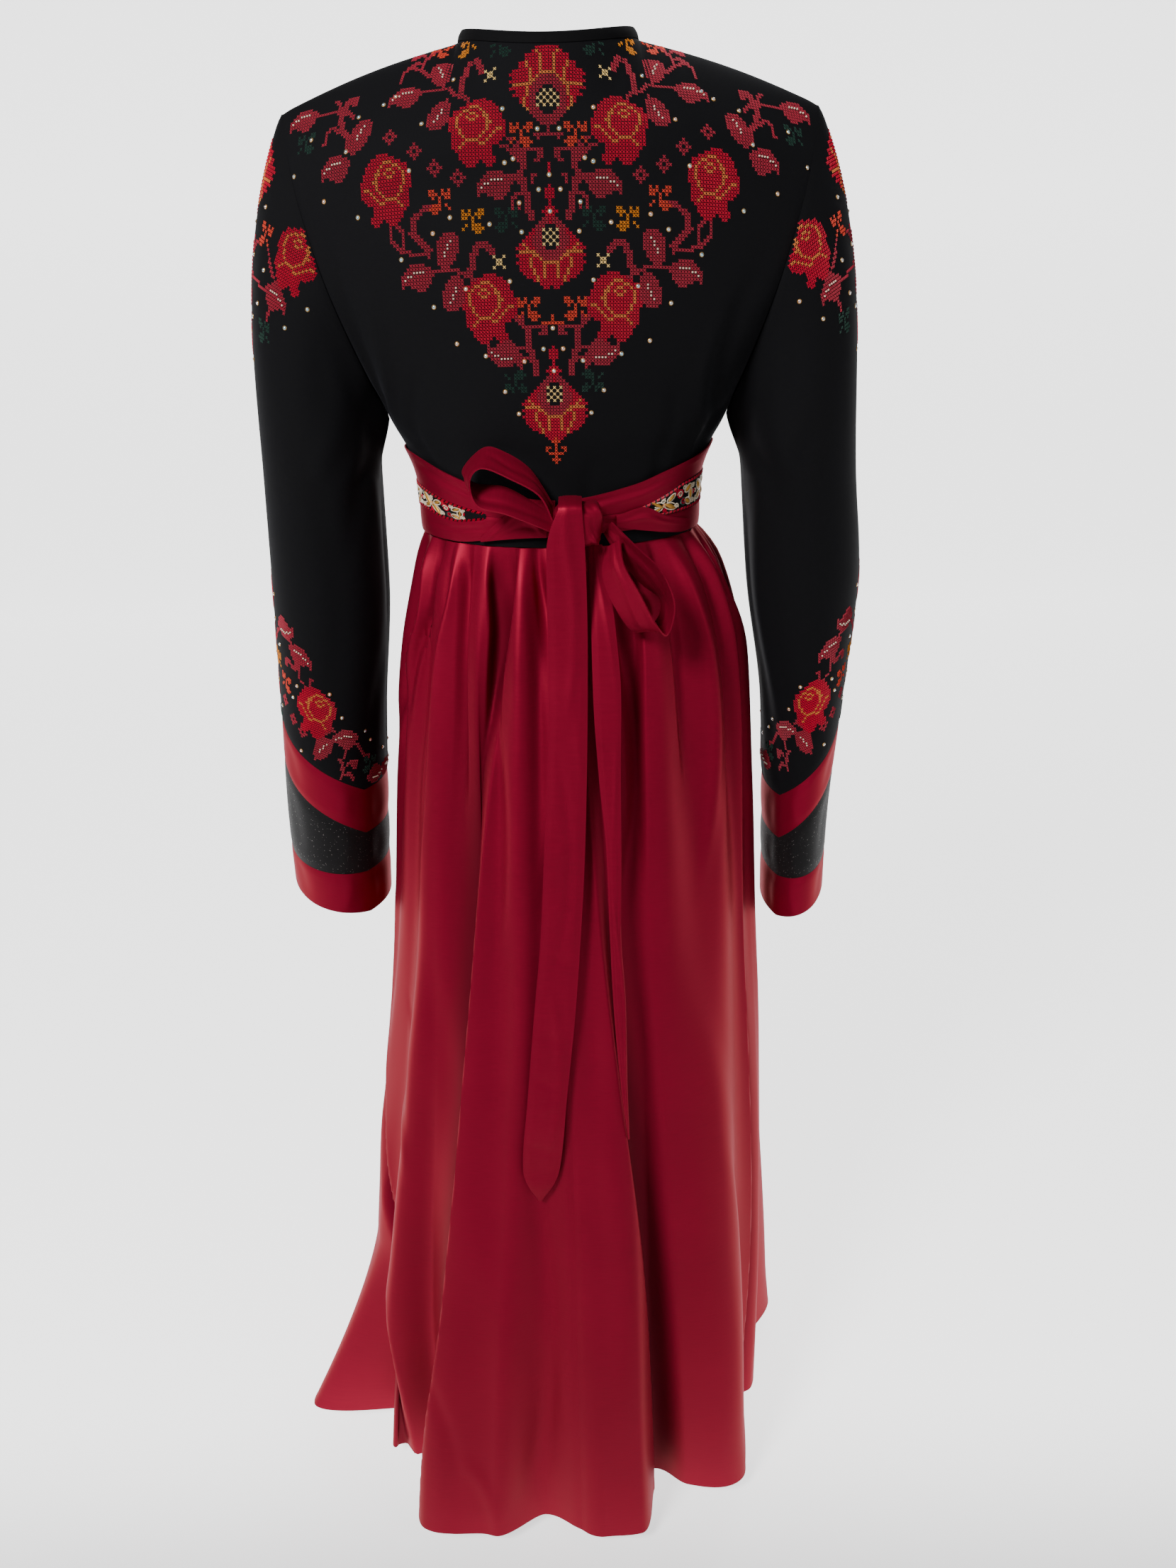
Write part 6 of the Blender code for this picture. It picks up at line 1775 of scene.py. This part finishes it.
class DRESS_OT_belt(bpy.types.Operator):
    """Makes the belt's three strips and the folded ends beside its bow"""
    bl_idname = "dress.belt"
    bl_label = "Belt"

    def execute(self, context):
        scene = context.scene
        wall = scene.dress_cloth.wall
        for name, finish, slot, columns, rows in (
                ("belt_upper_strip", satin, "crimson_satin", 361, 11),
                ("belt_embroidered_strip", crepe, "embroidered_strip", 321, 9),
                ("belt_lower_strip", satin, "crimson_satin", 361, 11)):
            make_cloth(name, belt_strip(name), columns, rows, finish(), wall)
        for name, rows in FLAPS.items():
            top, bottom = column_curves(rows).values()
            ends = (rows[0].bearing, rows[-1].bearing)
            make_cloth(name, overlay_cloth(name, ends, top, bottom, 1), 61, 15, satin(),
                       wall)
        return {"FINISHED"}


class DRESS_OT_bow(bpy.types.Operator):
    """Makes the bow: its knot, its two loops and the two ties that hang from it"""
    bl_idname = "dress.bow"
    bl_label = "Bow and ties"

    def execute(self, context):
        scene = context.scene
        ribbon = scene.dress_cloth.ribbon
        for name, rows in LOOPS.items():
            left, right = loop_edges(rows, 65)
            thing, size = ribbon_wall(name, left, right, 13, LOOP_CREASES[name], RIBBON_SIZE, 0.0, ribbon,
                                      satin())
            settle(thing, [name], size)
        starts = {"tie_long": KNOT_CENTRE[1] - KNOT_HALF_SIZE[1] - SEAM_GAP, "tie_short": SHORT_TIE_Y}
        for name, rows in TIES.items():
            left, right = tie_edges(rows, starts[name], 141)
            if name == "tie_long":
                left, right = over_knot(left, right)
            thing, size = ribbon_wall(name, left, right, 15, TIE_CREASES[name], TIE_SIZE, TIE_CROWN, ribbon,
                                      satin())
            settle(thing, [name], size)
        points = knot_points(33, 48)
        vertices = points.reshape(-1, 3)
        thing = new_object("bow_knot_cloth", vertices, grid_faces(33, 48, 0, True, True), [satin()])
        cloth_uv(thing, points)
        width, length, area = grid_size(points)
        settle(thing, ["bow_knot"], (width, length * 0.5, area * 0.5))
        return {"FINISHED"}


class DRESS_OT_embroidery(bpy.types.Operator):
    """Works the cross-stitch, beads and stones on the back and the sleeves"""
    bl_idname = "dress.embroidery"
    bl_label = "Embroidery"

    def execute(self, context):
        areas = (
            ("bodice_back", bodice_cloth(True), 41, (BACK_MOTIFS, BACK_STEMS, BACK_STONES)),
            ("sleeve_left", sleeve_cloth(-1), 61, (SLEEVE_MOTIFS, SLEEVE_STEMS, SLEEVE_STONES)),
            ("sleeve_right", sleeve_cloth(1), 61, (SLEEVE_MOTIFS, SLEEVE_STEMS, SLEEVE_STONES)),
        )
        threads = thread_finishes(context.scene.dress_thread)
        for name, cloth, count, design in areas:
            embroider(name + "_embroidery", Pattern(cloth, count, count), *design, threads)
        return {"FINISHED"}


class DRESS_OT_ornament(bpy.types.Operator):
    """Lays gold leaves, beaded scrolls and rope borders on the belt's black strip"""
    bl_idname = "dress.ornament"
    bl_label = "Belt ornament"

    def execute(self, context):
        thread = context.scene.dress_thread
        belt_ornament((
            finish_named("cord_red", thread_finish, thread.red, 0.6),
            finish_named("bead_green", bead_finish, thread.green),
            finish_named("bead_cream", bead_finish, thread.bead),
            finish_named("bead_ochre", bead_finish, thread.ochre),
            finish_named("gold_work", metal_thread_finish, thread.gold),
            finish_named("cord_black", thread_finish, context.scene.dress_cloth.sheer, 0.6),
        ))
        return {"FINISHED"}


class DRESS_OT_stage(bpy.types.Operator):
    """Lays the floor and sets the lights and the camera"""
    bl_idname = "dress.stage"
    bl_label = "Stage"

    def execute(self, context):
        scene = context.scene
        stage = scene.dress_stage
        lowest = CAD_BOX[0][2] - stage.floor_gap
        make_floor(lowest, stage.floor, stage.glow)
        world = bpy.data.worlds.new("studio")
        world.use_nodes = True
        background = world.node_tree.nodes["Background"]
        background.inputs["Color"].default_value = (1.0, 1.0, 1.0, 1.0)
        background.inputs["Strength"].default_value = stage.sky
        scene.world = world
        powers = {"key": stage.key_light, "fill": stage.fill_light, "rim": stage.fill_light}
        for name, size, place, aim in LIGHTS:
            light = bpy.data.lights.new(name, "AREA")
            light.shape = "DISK"
            light.size = size
            light.energy = powers[name]
            lamp = bpy.data.objects.new(name, light)
            lamp.location = place
            lamp.rotation_euler = (Vector(aim) - Vector(place)).to_track_quat("-Z", "Y").to_euler()
            scene.collection.objects.link(lamp)
        camera = bpy.data.cameras.new("camera")
        camera.sensor_fit = "VERTICAL"
        camera.sensor_height = PICTURE_HEIGHT
        camera.lens = stage.lens
        viewer = bpy.data.objects.new("camera", camera)
        viewer.location = CAMERA_PLACE
        turn = Matrix.Rotation(math.pi / 2.0 - stage.pitch, 4, "X") @ Matrix.Rotation(-stage.roll, 4, "Z")
        viewer.rotation_euler = turn.to_euler()
        scene.collection.objects.link(viewer)
        scene.camera = viewer
        return {"FINISHED"}


FLOOR_REACH, FLOOR_FAR = 6.0, 0.6   # to the front and the sides, and the backdrop's share of that
FLOOR_SWEEP = 1.6           # radius of the sweep from the floor up to the backdrop
SWEEP_STEPS = 16
BACKDROP_HEIGHT = 4.0
GLOW_EDGE = (-0.50, -0.05)   # the floor glows behind the dress, and fades out towards the camera


def make_floor(height, colour, glow):
    """A pale floor that sweeps up into a backdrop on the far side."""
    near, far = -FLOOR_REACH, FLOOR_REACH * FLOOR_FAR
    profile = [(near, 0.0), (far, 0.0)]
    for n in range(1, SWEEP_STEPS + 1):
        turn = math.radians(90.0) * n / SWEEP_STEPS
        profile.append((far + FLOOR_SWEEP * math.sin(turn), FLOOR_SWEEP * (1.0 - math.cos(turn))))
    profile.append((far + FLOOR_SWEEP, BACKDROP_HEIGHT))
    vertices = [(x, y, height + z) for y, z in profile for x in (-FLOOR_REACH, FLOOR_REACH)]
    faces = [(2 * n, 2 * n + 1, 2 * n + 3, 2 * n + 2) for n in range(len(profile) - 1)]
    finish = Finish("floor_paper", roughness=0.9, specular_ior_level=0.2, emission_strength=glow)
    place = finish.object_place()
    behind = finish.ramp(finish.add("ShaderNodeSeparateXYZ", values={"Vector": place}, output=1), *GLOW_EDGE)
    finish.feed("Emission Color", finish.blend(behind, (0.02, 0.02, 0.02), (1.0, 1.0, 1.0)))
    grain = finish.noise(place, 40.0, 4.0)
    finish.feed("Base Color", finish.tones(grain, colour, 0.97, 1.03))
    floor = new_object("floor", vertices, faces, [finish.material])


class DRESS_PT_panel(bpy.types.Panel):
    """Lists the steps that make the dress, in their order"""
    bl_idname = "DRESS_PT_panel"
    bl_label = "Embroidered dress"
    bl_space_type = "VIEW_3D"
    bl_region_type = "UI"
    bl_category = "Dress"

    def draw(self, context):
        for group in GROUPS:
            box = self.layout.box()
            settings = getattr(context.scene, group)
            for key in settings.__annotations__:
                box.prop(settings, key)
        for operator in OPERATORS:
            self.layout.operator(operator.bl_idname)


GROUPS = {"dress_cloth": DRESS_PG_cloth, "dress_thread": DRESS_PG_thread, "dress_stage": DRESS_PG_stage}
OPERATORS = (DRESS_OT_bodice, DRESS_OT_sleeves, DRESS_OT_skirt, DRESS_OT_belt, DRESS_OT_bow,
             DRESS_OT_embroidery, DRESS_OT_ornament, DRESS_OT_stage)


def register():
    for group in GROUPS.values():
        bpy.utils.register_class(group)
    for name, group in GROUPS.items():
        setattr(bpy.types.Scene, name, PointerProperty(type=group))
    for operator in OPERATORS:
        bpy.utils.register_class(operator)
    bpy.utils.register_class(DRESS_PT_panel)


def unregister():
    bpy.utils.unregister_class(DRESS_PT_panel)
    for operator in reversed(OPERATORS):
        bpy.utils.unregister_class(operator)
    for name, group in GROUPS.items():
        delattr(bpy.types.Scene, name)
        bpy.utils.unregister_class(group)


def main():
    register()
    for operator in OPERATORS:
        group, step = operator.bl_idname.split(".")
        getattr(getattr(bpy.ops, group), step)()


if __name__ == "__main__":
    main()
